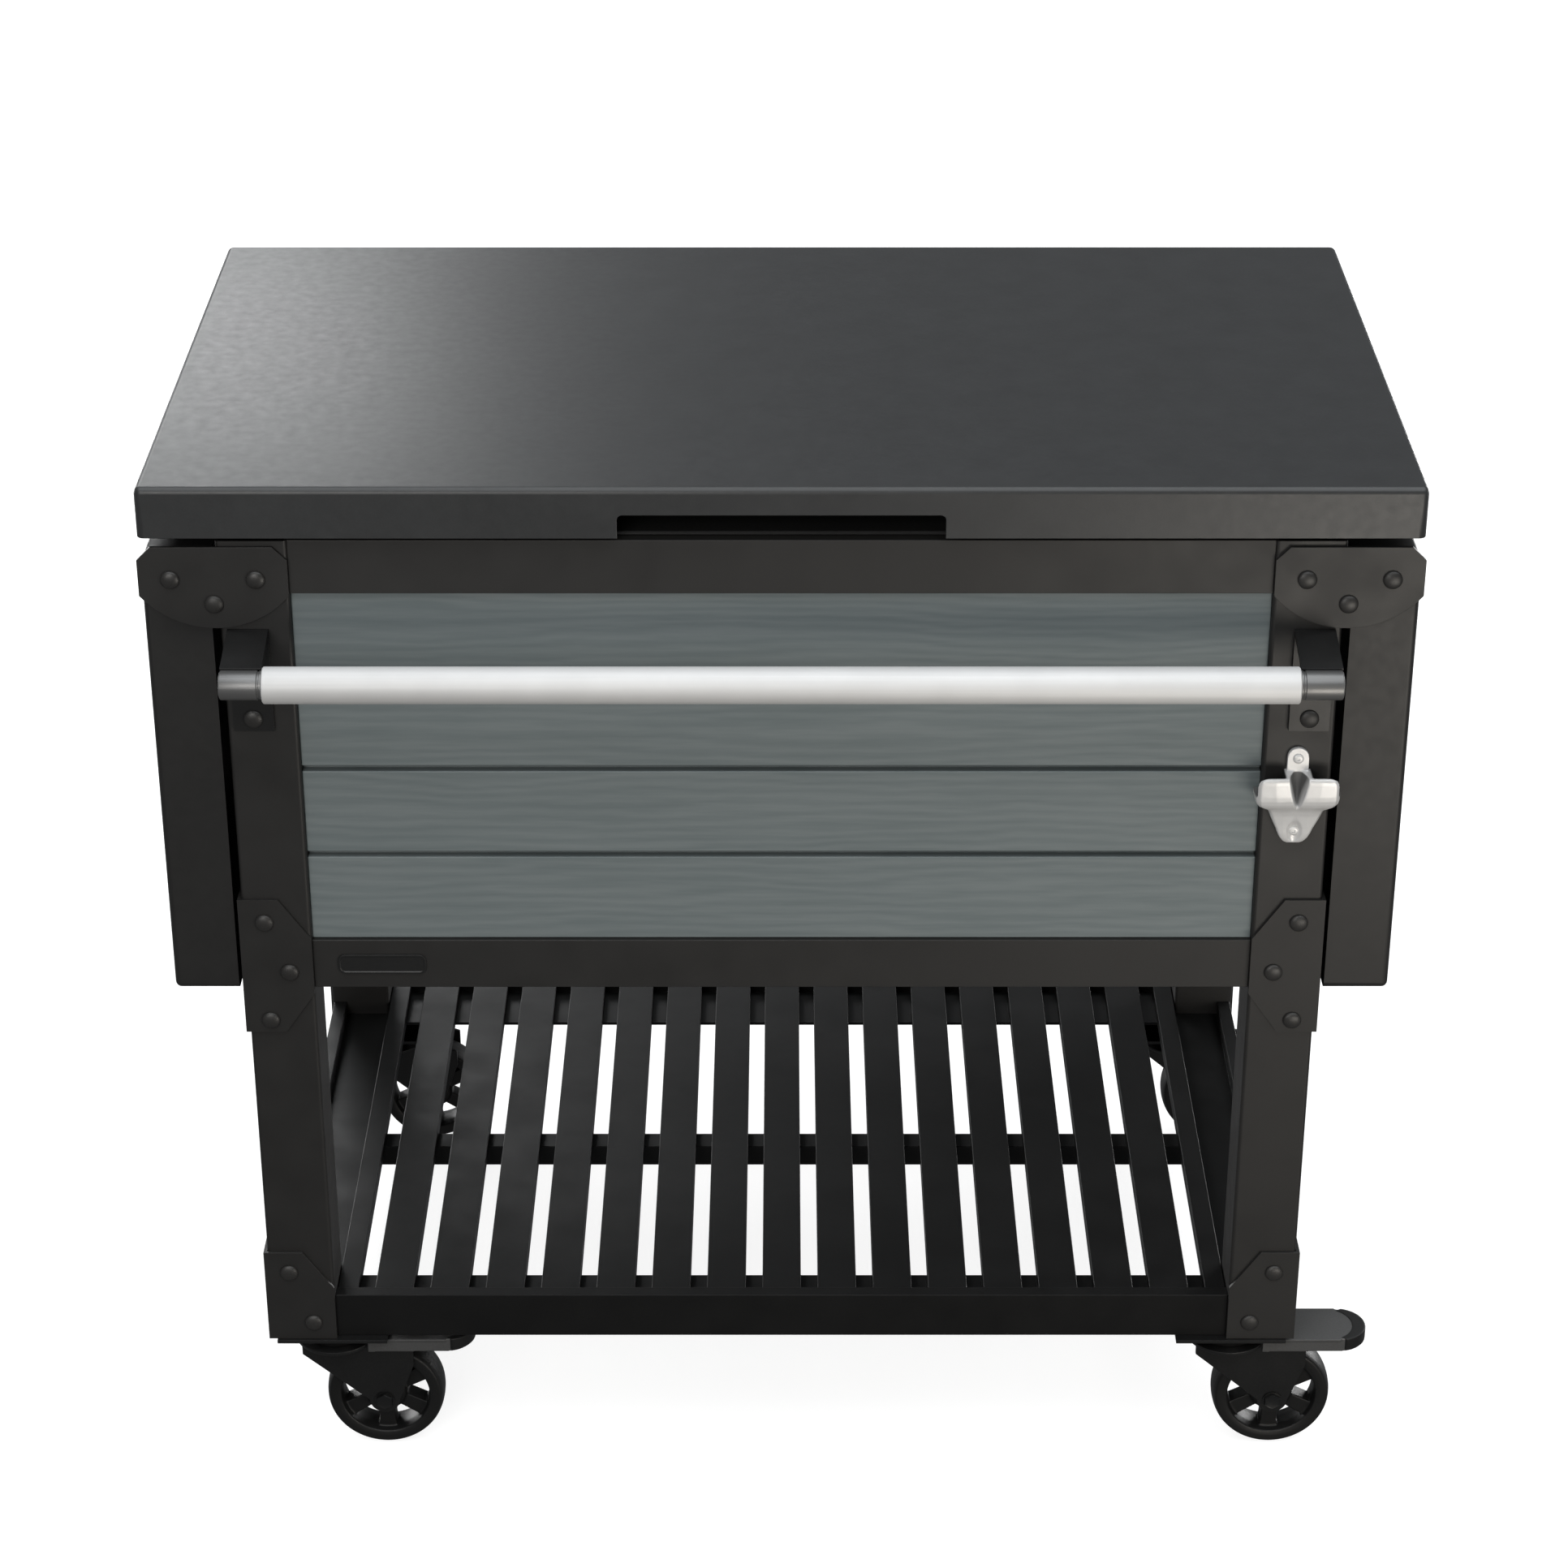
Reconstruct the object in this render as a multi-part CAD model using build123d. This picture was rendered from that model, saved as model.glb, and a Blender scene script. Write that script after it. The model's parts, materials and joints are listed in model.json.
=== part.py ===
from build123d import *
import math
import os

# Patio cooler cart, in millimetres. X runs to the right, Y to the back and Z up.
# The origin is on the floor, midway between the four legs.

# Casters
wheel_diameter = 102.0
wheel_width = 30.0
wheel_edge_radius = 4.0
tread_depth = 12.5
hub_radius = 18.5
hub_side_gap = 0.6
spoke_count = 6
spoke_width = 13.5
spoke_thickness = 16.0
axle_radius = 5.0
axle_head_radius = 8.5
axle_head_height = 4.5
wheel_crown_gap = 5.0
crown_radius = 35.0
crown_thickness = 3.0
race_radius = 26.0
race_height = 9.0
race_gap = 0.3
kingpin_radius = 5.0
kingpin_head_radius = 8.0
kingpin_head_height = 2.0
caster_plate_length = 94.0
caster_plate_width = 67.0
caster_plate_thickness = 3.0
caster_trail = 40.6
caster_inset = 51.0
fork_sheet = 3.0
fork_boss_radius = 13.0
fork_waist_drop = 8.0
fork_ear = 6.0
fork_hood = 20.0
fork_hood_drop = 7.0
fork_hood_depth = 16.0

# Brake pedals of the front casters
pedal_pin_radius = 2.5
pedal_pin_rise = 2.0
pedal_pin_gap = 3.5
pedal_start_gap = 3.0
pedal_reach = 120.0
pedal_sheet = 2.0
pedal_depth = 13.0
pedal_side_gap = 0.5
pedal_plate_gap = 3.0
shoe_rise = 1.4
shoe_start = 12.0
shoe_length = 10.0
shoe_width = 20.0

# Legs and rails
leg_span_x = 872.0
leg_span_y = 552.0
leg_size = 55.0
leg_wall = 2.0
leg_corner_radius = 3.0
leg_length = 742.0
rail_setback = 2.0
rail_depth = 25.0
rail_wall = 2.0
top_rail_height = 45.0
box_rail_height = 44.0

# Planks and panels
plank_count = 4
plank_pitch = 77.0
plank_setback = 6.0
plank_groove = 5.0
plank_groove_depth = 8.0
panel_thickness = 3.0
floor_thickness = 2.0

# Tub and drain
foam_side = 36.0
foam_front = 27.0
foam_below = 35.0
tub_wall = 3.0
tub_corner_radius = 25.0
tub_flange = 3.0
tub_flange_inset = 12.0
tub_gap = 0.2
drain_x = 250.0
drain_y = 120.0
drain_radius = 12.5
drain_bore = 8.0
drain_flange_radius = 22.0
drain_flange_height = 3.0
drain_reach = 30.0
cap_wall = 5.0
cap_floor = 4.0
cap_height = 22.0
cap_gap = 0.4
cap_wing_span = 56.0
cap_wing_thickness = 6.0

# Lid and its hinges
lid_overhang = 6.0
lid_skirt = 41.5
lid_sheet = 2.0
lid_corner_radius = 6.0
lid_edge_radius = 5.0
lid_gap = 4.5
notch_width = 252.0
notch_height = 19.2
notch_radius = 4.0
pan_lap_x = 56.0
pan_lap_y = 16.0
pan_sheet = 3.0
pan_rise = 3.5
gasket_offset = 4.0
gasket_width = 10.0
gasket_gap = 0.3
hinge_spacing = 600.0
hinge_length = 60.0
hinge_sheet = 2.0
hinge_leaf_height = 32.0
hinge_knuckle_radius = 4.5
hinge_pin_radius = 2.5
hinge_lid_gap = 0.5
hinge_knuckle_length = 20.0
hinge_knuckle_gap = 0.5

# Drop leaves and their brackets
leaf_gap = 6.5
leaf_thickness = 52.5
leaf_length = 383.0
leaf_sheet = 2.0
leaf_end_gap = 0.8
leaf_corner_radius = 6.0
leaf_edge_radius = 5.0
leaf_above_pivot = 16.0
pivot_inset = 23.0
pivot_drop = 31.0
pivot_radius = 4.0
pivot_collar_radius = 7.0
pivot_collar_length = 5.0
pivot_collar_gap = 0.6
bracket_sheet = 3.0
bracket_overhang = 2.0
bracket_top_drop = 4.0
bracket_side = 41.0
bracket_sag = 27.4
bracket_chamfer = 11.0
bracket_bolt_inset = 30.0
stop_drop = 20.6
stop_clearance = 0.55
stop_length = 16.0

# Gussets
gusset_sheet = 3.0
gusset_return = 40.0
mid_gusset_height = 123.0
base_gusset_height = 88.0
gusset_chamfer_x = 25.0
gusset_chamfer_z = 36.0
gusset_bolt_outer = 18.0
gusset_bolt_inner = 36.0
mid_bolt_high = 20.5
mid_bolt_middle = 5.0
mid_bolt_low = 11.5
base_bolt_high = 20.0
base_bolt_low = 17.0

# Bolts
bolt_head_radius = 7.5
bolt_head_height = 4.0
bolt_dome = 3.0
bolt_radius = 3.0
bolt_tail = 6.0
bolt_fit = 0.1
running_fit = 0.05

# Push bar
bar_diameter = 29.0
bar_wall = 2.0
bar_chamfer_length = 1.0
bar_chamfer_depth = 1.0
bar_standoff = 56.0
ferrule_diameter = 23.0
spigot_radius = 8.0
spigot_length = 20.0
arm_sheet = 4.0
arm_width = 32.0
arm_inset = 18.0
arm_gap = 1.6
arm_bar_gap = 1.0
arm_base_height = 87.0
arm_rise = 22.0
arm_bend_radius = 7.0
arm_tip = 4.0
arm_screw_low = 11.0
arm_screw_high = 46.0

# Bottle opener
opener_gap = 15.0
opener_height = 84.0
opener_width = 68.0
opener_wing_top = 21.0
opener_wing_bottom = 51.0
opener_tab_width = 17.0
opener_foot_width = 18.0
opener_neck_width = 43.0
opener_plate = 4.0
opener_reach = 20.0
opener_mouth_width = 20.0
opener_mouth_depth = 26.0
opener_wing_radius = 9.0
opener_screw_high = 9.0
opener_screw_low = 11.0
opener_screw_radius = 2.2
opener_screw_head = 4.2
opener_screw_height = 2.0

# Badge plate
badge_width = 72.0
badge_height = 18.0
badge_thickness = 1.5
badge_corner_radius = 6.0
badge_inset = 20.0

# Slatted shelf
shelf_rail_height = 41.5
shelf_rail_depth = 12.0
shelf_rail_wall = 1.5
shelf_ledge = 38.0
shelf_side_ledge = 46.0
shelf_rear_ledge = 58.0
shelf_ledge_sheet = 3.0
slat_drop = 1.5
slat_height = 12.0
slat_width = 33.0
slat_pitch = 47.4
slat_sheet = 1.5
slat_end_gap = 0.5
slat_edge_gap = 1.0
slat_least_width = 8.0
cross_bar_shift = -7.0
cross_bar_depth = 22.0
cross_bar_height = 20.0
cross_bar_wall = 2.0

# Heights and faces that follow from the sizes above
crown_bottom = wheel_diameter + wheel_crown_gap
crown_top = crown_bottom + crown_thickness
plate_bottom = crown_top + race_height
leg_bottom = plate_bottom + caster_plate_thickness
leg_top = leg_bottom + leg_length
leg_outer = leg_span_x / 2
leg_inner = leg_outer - leg_size
leg_front = -leg_span_y / 2
leg_back = leg_front + leg_size
rail_front = leg_front + rail_setback
rail_back = rail_front + rail_depth
rail_side = leg_outer - rail_setback
rail_side_inner = rail_side - rail_depth
plank_top = leg_top - top_rail_height
plank_bottom = plank_top - plank_count * plank_pitch
box_bottom = plank_bottom - box_rail_height
tub_floor = box_bottom + floor_thickness + foam_below + tub_wall
tub_rim = leg_top + tub_flange
tub_width = 2 * (leg_inner - foam_side - tub_wall)
tub_depth = 2 * (-rail_back - foam_front - tub_wall)
lid_bottom = leg_top + lid_gap
lid_top = lid_bottom + lid_skirt
pan_bottom = lid_bottom + pan_rise
leaf_inner = leg_outer + leaf_gap
leaf_outer = leaf_inner + leaf_thickness
lid_width = 2 * leaf_outer
lid_depth = leg_span_y + 2 * lid_overhang
lid_rear = lid_depth / 2
hinge_y = lid_rear + hinge_lid_gap + hinge_knuckle_radius
hinge_z = (leg_top + lid_bottom) / 2
pivot_x = leaf_outer - pivot_inset
pivot_z = leg_top - pivot_drop
leaf_top = pivot_z + leaf_above_pivot
leaf_front = leg_front + leaf_end_gap
bracket_front = leg_front - bracket_sheet
bracket_bolt_x = leg_outer - bracket_bolt_inset
bracket_edge = leg_top - bracket_top_drop - bracket_side
bracket_bottom = bracket_edge - bracket_sag
stop_x = leg_outer + leaf_gap / 2
stop_radius = leaf_gap / 2 - stop_clearance
stop_z = pivot_z - stop_drop
mid_gusset_z = box_bottom + box_rail_height / 2
mid_gusset_bottom = mid_gusset_z - mid_gusset_height / 2
mid_gusset_top = mid_gusset_z + mid_gusset_height / 2
base_gusset_top = leg_bottom + base_gusset_height
bar_y = leg_front - bar_standoff
arm_inner = leg_inner + arm_inset
arm_outer = arm_inner + arm_width
arm_x = (arm_inner + arm_outer) / 2
arm_top = bracket_bottom - arm_gap
arm_bottom = arm_top - arm_base_height
bar_z = arm_top - arm_rise
bar_length = 2 * (arm_inner - arm_bar_gap)
opener_x = leg_outer - leg_size / 2
opener_top = arm_bottom - opener_gap
shelf_top = leg_bottom + shelf_rail_height
slat_top = shelf_top - slat_drop
slat_bottom = slat_top - slat_height
caster_x = leg_outer - caster_inset
caster_y = leg_span_y / 2 - leg_size / 2
wheel_radius = wheel_diameter / 2
pedal_pivot_reach = crown_radius + pedal_pin_gap + pedal_pin_radius
pedal_pin_z = wheel_diameter + pedal_pin_rise + pedal_pin_radius
cheek_inner = wheel_width / 2 + fork_sheet
cheek_outer = cheek_inner + fork_sheet


def block(x0, x1, y0, y1, z0, z1):
    """A box between two corners."""
    middle = Pos((x0 + x1) / 2, (y0 + y1) / 2, (z0 + z1) / 2)
    return middle * Box(x1 - x0, y1 - y0, z1 - z0)


def rod_x(radius, x0, x1, y, z):
    """A round rod along X."""
    return Pos((x0 + x1) / 2, y, z) * Rot(0, 90, 0) * Cylinder(radius, x1 - x0)


def rod_y(radius, y0, y1, x, z):
    """A round rod along Y."""
    return Pos(x, (y0 + y1) / 2, z) * Rot(90, 0, 0) * Cylinder(radius, y1 - y0)


def rod_z(radius, z0, z1, x, y):
    """A round rod along Z."""
    return Pos(x, y, (z0 + z1) / 2) * Cylinder(radius, z1 - z0)


def tube_x(x0, x1, y0, y1, z0, z1, wall):
    """A rectangular tube along X, open at both ends."""
    return block(x0, x1, y0, y1, z0, z1) - block(x0, x1, y0 + wall, y1 - wall, z0 + wall, z1 - wall)


def tube_y(x0, x1, y0, y1, z0, z1, wall):
    """A rectangular tube along Y, open at both ends."""
    return block(x0, x1, y0, y1, z0, z1) - block(x0 + wall, x1 - wall, y0, y1, z0 + wall, z1 - wall)


def plate_xz(outline, y0, y1):
    """A plate between two Y values, with its outline given in X and Z."""
    plane = Plane((0, y1, 0), x_dir=(1, 0, 0), z_dir=(0, -1, 0))
    return extrude(plane * make_face(outline), y1 - y0)


def plate_yz(outline, x0, x1):
    """A plate between two X values, with its outline given in Y and Z."""
    plane = Plane((x0, 0, 0), x_dir=(0, 1, 0), z_dir=(1, 0, 0))
    return extrude(plane * make_face(outline), x1 - x0)


def slab(width, depth, radius, z0, z1):
    """A block centred on the origin with rounded upright edges."""
    return extrude(Pos(0, 0, z0) * RectangleRounded(width, depth, radius), z1 - z0)


def flip_x(shape):
    """The mirror image on the other side of the cart."""
    return mirror(shape, about=Plane.YZ)


def flip_y(shape):
    """The mirror image at the other end, front to back."""
    return mirror(shape, about=Plane.XZ)


def four_corners(shape):
    """A front right piece and its mirror images at the other three corners."""
    pair = [shape, flip_x(shape)]
    return pair + [flip_y(piece) for piece in pair]


def save(name, *shapes):
    """Writes one node: a single solid, or a group of separate solids."""
    solids = [solid for shape in shapes for solid in shape.solids()]
    node = solids[0] if len(solids) == 1 else Compound(solids)
    export_step(node, os.path.join("parts", name + ".step"))


def bolt(x, z, face_y, grip, radius=bolt_radius):
    """A dome-headed bolt on the front: its head stands before face_y, its shank runs back through grip."""
    head = rod_y(bolt_head_radius, face_y - bolt_head_height, face_y, x, z)
    head = fillet(head.edges().sort_by(Axis.Y)[0], bolt_dome)
    return head + rod_y(radius, face_y, face_y + grip + bolt_tail, x, z)


def mid_gusset_bolts():
    """X and Z of the bolts of the gusset at the foot of the box."""
    outer = leg_outer - gusset_bolt_outer
    inner = leg_outer - gusset_bolt_inner
    return [
        (outer, mid_gusset_top - mid_bolt_high),
        (inner, mid_gusset_z - mid_bolt_middle),
        (outer, mid_gusset_bottom + mid_bolt_low),
    ]


def base_gusset_bolts():
    """X and Z of the bolts of the gusset at the foot of the leg."""
    return [
        (leg_outer - gusset_bolt_outer, base_gusset_top - base_bolt_high),
        (leg_outer - gusset_bolt_inner, leg_bottom + base_bolt_low),
    ]


def arm_screws():
    """X and Z of the screws of the right push bar bracket."""
    return [(arm_x, arm_bottom + arm_screw_low), (arm_x, arm_bottom + arm_screw_high)]


def opener_screws():
    """X and Z of the bottle opener's screws."""
    foot = opener_top - opener_height
    return [(opener_x, opener_top - opener_screw_high), (opener_x, foot + opener_screw_low)]


def leg(face_holes):
    """The front right leg: a square tube, drilled on its front face."""
    outer = block(leg_inner, leg_outer, leg_front, leg_back, leg_bottom, leg_top)
    outer = fillet(outer.edges().filter_by(Axis.Z), leg_corner_radius)
    wall = leg_wall
    bore = block(leg_inner + wall, leg_outer - wall, leg_front + wall, leg_back - wall, leg_bottom, leg_top)
    tube = outer - bore
    for x, z, radius in face_holes:
        tube -= rod_y(radius + bolt_fit, leg_front - wall, leg_front + 2 * wall, x, z)
    return tube


def legs():
    """The four legs, each drilled for what is bolted to it."""
    bolts = [(bracket_bolt_x, pivot_z)] + mid_gusset_bolts() + base_gusset_bolts()
    common = [(x, z, bolt_radius) for x, z in bolts]
    front = common + [(x, z, bolt_radius) for x, z in arm_screws()]
    opener = [(x, z, opener_screw_radius) for x, z in opener_screws()]
    save("front_right_leg", leg(front + opener))
    save("front_left_leg", flip_x(leg(front)))
    save("rear_right_leg", flip_y(leg(common)))
    save("rear_left_leg", flip_x(flip_y(leg(common))))


def box_rails():
    """The rails above and below the planks, on all four sides."""
    heights = {"top": (plank_top, leg_top), "box": (box_bottom, plank_bottom)}
    for name, (z0, z1) in heights.items():
        front = tube_x(-leg_inner, leg_inner, rail_front, rail_back, z0, z1, rail_wall)
        side = tube_y(rail_side_inner, rail_side, leg_back, -leg_back, z0, z1, rail_wall)
        save(name + "_front_rail", front)
        save(name + "_rear_rail", flip_y(front))
        save(name + "_side_rails", side, flip_x(side))


def plank(row):
    """One front plank, counted from the top, rebated where it meets the next one."""
    y0 = leg_front + plank_setback
    z1 = plank_top - row * plank_pitch
    z0 = z1 - plank_pitch
    board = block(-leg_inner, leg_inner, y0, rail_back, z0, z1)
    half = plank_groove / 2
    if row > 0:
        board -= block(-leg_inner, leg_inner, y0, y0 + plank_groove_depth, z1 - half, z1)
    if row < plank_count - 1:
        board -= block(-leg_inner, leg_inner, y0, y0 + plank_groove_depth, z0, z0 + half)
    return board


def cross_slab(side, front, z0, z1):
    """A block that fills the box between its walls and is cut back round the four legs."""
    across = block(-side, side, leg_back, -leg_back, z0, z1)
    along = block(-leg_inner, leg_inner, front, -front, z0, z1)
    return across + along


def box_walls():
    """Planks at the front and back, panels at the sides and a panel underneath."""
    planks = [plank(row) for row in range(plank_count)]
    save("front_planks", *planks)
    save("rear_planks", *[flip_y(board) for board in planks])
    panel_inner = rail_side_inner - panel_thickness
    panel = block(panel_inner, rail_side_inner, leg_back, -leg_back, box_bottom + floor_thickness, leg_top)
    save("side_panels", panel, flip_x(panel))
    floor = cross_slab(rail_side_inner, rail_back, box_bottom, box_bottom + floor_thickness)
    save("box_floor_panel", floor - drain_hole())


def drain_hole():
    """The way for the drain spout through the floor of the box."""
    return rod_z(drain_radius + tub_gap, box_bottom - drain_reach, tub_rim, drain_x, drain_y)


def tub():
    """The tub that holds the ice, with a flange that rests on the legs and rails, and its insulation."""
    width = tub_width + 2 * tub_wall
    depth = tub_depth + 2 * tub_wall
    bottom = tub_floor - tub_wall
    inner_radius = tub_corner_radius - tub_wall
    shell = slab(width, depth, tub_corner_radius, bottom, leg_top)
    flange_width = leg_span_x - 2 * tub_flange_inset
    flange_depth = leg_span_y - 2 * tub_flange_inset
    shell += slab(flange_width, flange_depth, tub_corner_radius, leg_top, tub_rim)
    shell -= slab(tub_width, tub_depth, inner_radius, tub_floor, tub_rim)
    save("tub_liner", shell - drain_hole())
    foam = cross_slab(rail_side_inner - panel_thickness, rail_back, box_bottom + floor_thickness, leg_top)
    room_radius = tub_corner_radius + tub_gap
    room = slab(width + 2 * tub_gap, depth + 2 * tub_gap, room_radius, bottom, leg_top)
    save("tub_insulation", foam - room - drain_hole())


def drain():
    """The drain spout in the tub floor, and the winged cap below it."""
    end = box_bottom - drain_reach
    spout = rod_z(drain_radius, end, tub_floor, drain_x, drain_y)
    spout += rod_z(drain_flange_radius, tub_floor, tub_floor + drain_flange_height, drain_x, drain_y)
    spout -= rod_z(drain_bore, end, tub_floor + drain_flange_height, drain_x, drain_y)
    save("drain_spout", spout)
    room = drain_radius + cap_gap
    base = end - cap_gap - cap_floor
    cap = rod_z(room + cap_wall, base, base + cap_height, drain_x, drain_y)
    reach = cap_wing_span / 2
    half = cap_wing_thickness / 2
    cap += block(drain_x - reach, drain_x + reach, drain_y - half, drain_y + half, base, base + cap_height)
    cap -= rod_z(room, base + cap_floor, base + cap_height, drain_x, drain_y)
    save("drain_cap", cap)


def lid():
    """The lid's sheet shell, its inner pan, the insulation in the pan and the gasket under it."""
    shell = slab(lid_width, lid_depth, lid_corner_radius, lid_bottom, lid_top)
    shell = fillet(shell.faces().sort_by(Axis.Z)[-1].edges(), lid_edge_radius)
    inner_width = lid_width - 2 * lid_sheet
    inner_depth = lid_depth - 2 * lid_sheet
    inner_top = lid_top - lid_sheet
    shell -= slab(inner_width, inner_depth, lid_corner_radius - lid_sheet, lid_bottom, inner_top)
    half = notch_width / 2
    notch = block(-half, half, -lid_rear, -lid_rear + lid_sheet, lid_bottom, lid_bottom + notch_height)
    notch = fillet(notch.edges().filter_by(Axis.Y).group_by(Axis.Z)[-1], notch_radius)
    save("lid_shell", shell - notch)
    pan_x = tub_width / 2 + pan_lap_x
    pan_y = tub_depth / 2 + pan_lap_y
    pan = block(-pan_x, pan_x, -pan_y, pan_y, pan_bottom, inner_top)
    core_x = pan_x - pan_sheet
    core_y = pan_y - pan_sheet
    core = block(-core_x, core_x, -core_y, core_y, pan_bottom + pan_sheet, inner_top)
    save("lid_pan", pan - core)
    save("lid_insulation", core)
    ring_width = tub_width + 2 * gasket_offset
    ring_depth = tub_depth + 2 * gasket_offset
    wide = 2 * gasket_width
    seal_bottom = tub_rim + gasket_gap
    outer_radius = tub_corner_radius + gasket_width
    gasket = slab(ring_width + wide, ring_depth + wide, outer_radius, seal_bottom, pan_bottom)
    save("lid_gasket", gasket - slab(ring_width, ring_depth, tub_corner_radius, seal_bottom, pan_bottom))


def hinge(x):
    """One butt hinge: the leaf on the rear rail, the leaf on the lid and the pin."""
    x0 = x - hinge_length / 2
    x1 = x + hinge_length / 2
    rail_face = -rail_front
    web_z = hinge_z - hinge_knuckle_radius
    plate_top = web_z + hinge_sheet
    frame_leaf = block(x0, x1, rail_face, rail_face + hinge_sheet, plate_top - hinge_leaf_height, plate_top)
    for start in (x0, x1 - hinge_knuckle_length):
        stop = start + hinge_knuckle_length
        frame_leaf += block(start, stop, rail_face, hinge_y, web_z, plate_top)
        frame_leaf += rod_x(hinge_knuckle_radius, start, stop, hinge_y, hinge_z)
    m0 = x0 + hinge_knuckle_length + hinge_knuckle_gap
    m1 = x1 - hinge_knuckle_length - hinge_knuckle_gap
    plate_bottom_z = hinge_z + hinge_knuckle_radius + hinge_lid_gap
    lid_face = lid_rear + hinge_sheet
    lid_leaf = block(x0, x1, lid_rear, lid_face, plate_bottom_z, plate_bottom_z + hinge_leaf_height)
    lid_leaf += block(m0, m1, lid_rear, lid_face, hinge_z, plate_bottom_z)
    lid_leaf += rod_x(hinge_knuckle_radius, m0, m1, hinge_y, hinge_z)
    hole = rod_x(hinge_pin_radius + running_fit, x0, x1, hinge_y, hinge_z)
    return frame_leaf - hole, lid_leaf - hole, rod_x(hinge_pin_radius, x0, x1, hinge_y, hinge_z)


def hinges():
    """The two hinges behind the lid."""
    pieces = [hinge(side * hinge_spacing / 2) for side in (-1, 1)]
    for name, group in zip(("hinge_frame_leaves", "hinge_lid_leaves", "hinge_pins"), zip(*pieces)):
        save(name, *group)


def leaf():
    """The right drop leaf, hanging: a sheet tray whose open side faces the legs."""
    bottom = leaf_top - leaf_length
    tray = block(leaf_inner, leaf_outer, leaf_front, -leaf_front, bottom, leaf_top)
    tray = fillet(tray.edges().filter_by(Axis.X), leaf_corner_radius)
    tray = fillet(tray.faces().sort_by(Axis.X)[-1].edges(), leaf_edge_radius)
    t = leaf_sheet
    tray -= block(leaf_inner, leaf_outer - t, leaf_front + t, -leaf_front - t, bottom + t, leaf_top - t)
    return tray - rod_y(pivot_radius + running_fit, leaf_front, -leaf_front, pivot_x, pivot_z)


def leaf_bracket():
    """The front right leaf bracket: chamfered at the top, with a round lower edge."""
    x0 = leg_inner
    x1 = leaf_outer + bracket_overhang
    top = leg_top - bracket_top_drop
    side = bracket_edge
    cut = bracket_chamfer
    rim = Polyline(
        (x0, side), (x0, top - cut), (x0 + cut, top), (x1 - cut, top), (x1, top - cut), (x1, side),
    )
    sag = ThreePointArc((x1, side), ((x0 + x1) / 2, bracket_bottom), (x0, side))
    plate = plate_xz(rim + sag, bracket_front, leg_front)
    holes = [
        (bracket_bolt_x, pivot_z, bolt_radius),
        (pivot_x, pivot_z, pivot_radius),
        (stop_x, stop_z, stop_radius),
    ]
    for x, z, radius in holes:
        plate -= rod_y(radius + bolt_fit, bracket_front, leg_front, x, z)
    return plate


def pivot_bolt():
    """The bolt that the leaf turns on, with the collar that ends it inside the leaf."""
    inner_face = leaf_front + leaf_sheet
    start = inner_face + pivot_collar_gap
    pin = bolt(pivot_x, pivot_z, bracket_front, start - bracket_front - bolt_tail, pivot_radius)
    return pin + rod_y(pivot_collar_radius, start, start + pivot_collar_length, pivot_x, pivot_z)


def leaves():
    """Both leaves, their brackets and the bolts in the brackets."""
    tray = leaf()
    save("right_leaf", tray)
    save("left_leaf", flip_x(tray))
    save("leaf_brackets", *four_corners(leaf_bracket()))
    save("leaf_pivot_bolts", *four_corners(pivot_bolt()))
    fixed = bolt(bracket_bolt_x, pivot_z, bracket_front, bracket_sheet + leg_wall)
    stop = bolt(stop_x, stop_z, bracket_front, bracket_sheet + stop_length - bolt_tail, stop_radius)
    save("leaf_bracket_bolts", *four_corners(fixed), *four_corners(stop))


def gusset(outline, bolts, z0, z1):
    """A front right gusset: a drilled face plate, bent round the outer side of the leg."""
    face = leg_front - gusset_sheet
    plate = plate_xz(outline, face, leg_front)
    plate += block(leg_outer, leg_outer + gusset_sheet, face, leg_front + gusset_return, z0, z1)
    for x, z in bolts:
        plate -= rod_y(bolt_radius + bolt_fit, face, leg_front, x, z)
    return plate


def gussets():
    """The gussets at the foot of the box and at the foot of the legs, with their bolts."""
    outer = leg_outer + gusset_sheet
    slope = leg_inner + gusset_chamfer_x
    low = mid_gusset_bottom
    high = mid_gusset_top
    corners = [(outer, low), (outer, high), (slope, high), (leg_inner, high - gusset_chamfer_z)]
    corners += [(leg_inner, low + gusset_chamfer_z), (slope, low)]
    mid = gusset(Polyline(*corners, close=True), mid_gusset_bolts(), low, high)
    save("mid_gussets", *four_corners(mid))
    top = base_gusset_top
    corners = [(outer, leg_bottom), (outer, top), (slope, top)]
    corners += [(leg_inner, top - gusset_chamfer_z), (leg_inner, leg_bottom)]
    base = gusset(Polyline(*corners, close=True), base_gusset_bolts(), leg_bottom, top)
    save("base_gussets", *four_corners(base))
    group = []
    for x, z in mid_gusset_bolts() + base_gusset_bolts():
        group += four_corners(bolt(x, z, leg_front - gusset_sheet, gusset_sheet + leg_wall))
    save("gusset_bolts", *group)


def push_bar():
    """The round bar: a tube whose ends close in to the ferrule spigots."""
    half = bar_length / 2
    radius = bar_diameter / 2
    bore = radius - bar_wall
    neck = spigot_radius + bolt_fit
    throat = half - spigot_length - bar_wall
    shoulder = half - bar_chamfer_length
    lip = radius - bar_chamfer_depth
    profile = Polyline(
        (-half, neck), (-half, lip), (-shoulder, radius), (shoulder, radius), (half, lip), (half, neck),
        (throat, neck), (throat, bore), (-throat, bore), (-throat, neck), close=True,
    )
    bar = revolve(make_face(profile), Axis.X)
    save("push_bar", Pos(0, bar_y, bar_z) * bar)


def ferrule():
    """The right end ferrule of the bar, with the spigot that plugs into it."""
    half = bar_length / 2
    body = rod_x(ferrule_diameter / 2, half, arm_outer, bar_y, bar_z)
    return body + rod_x(spigot_radius, half - spigot_length, half, bar_y, bar_z)


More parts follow.
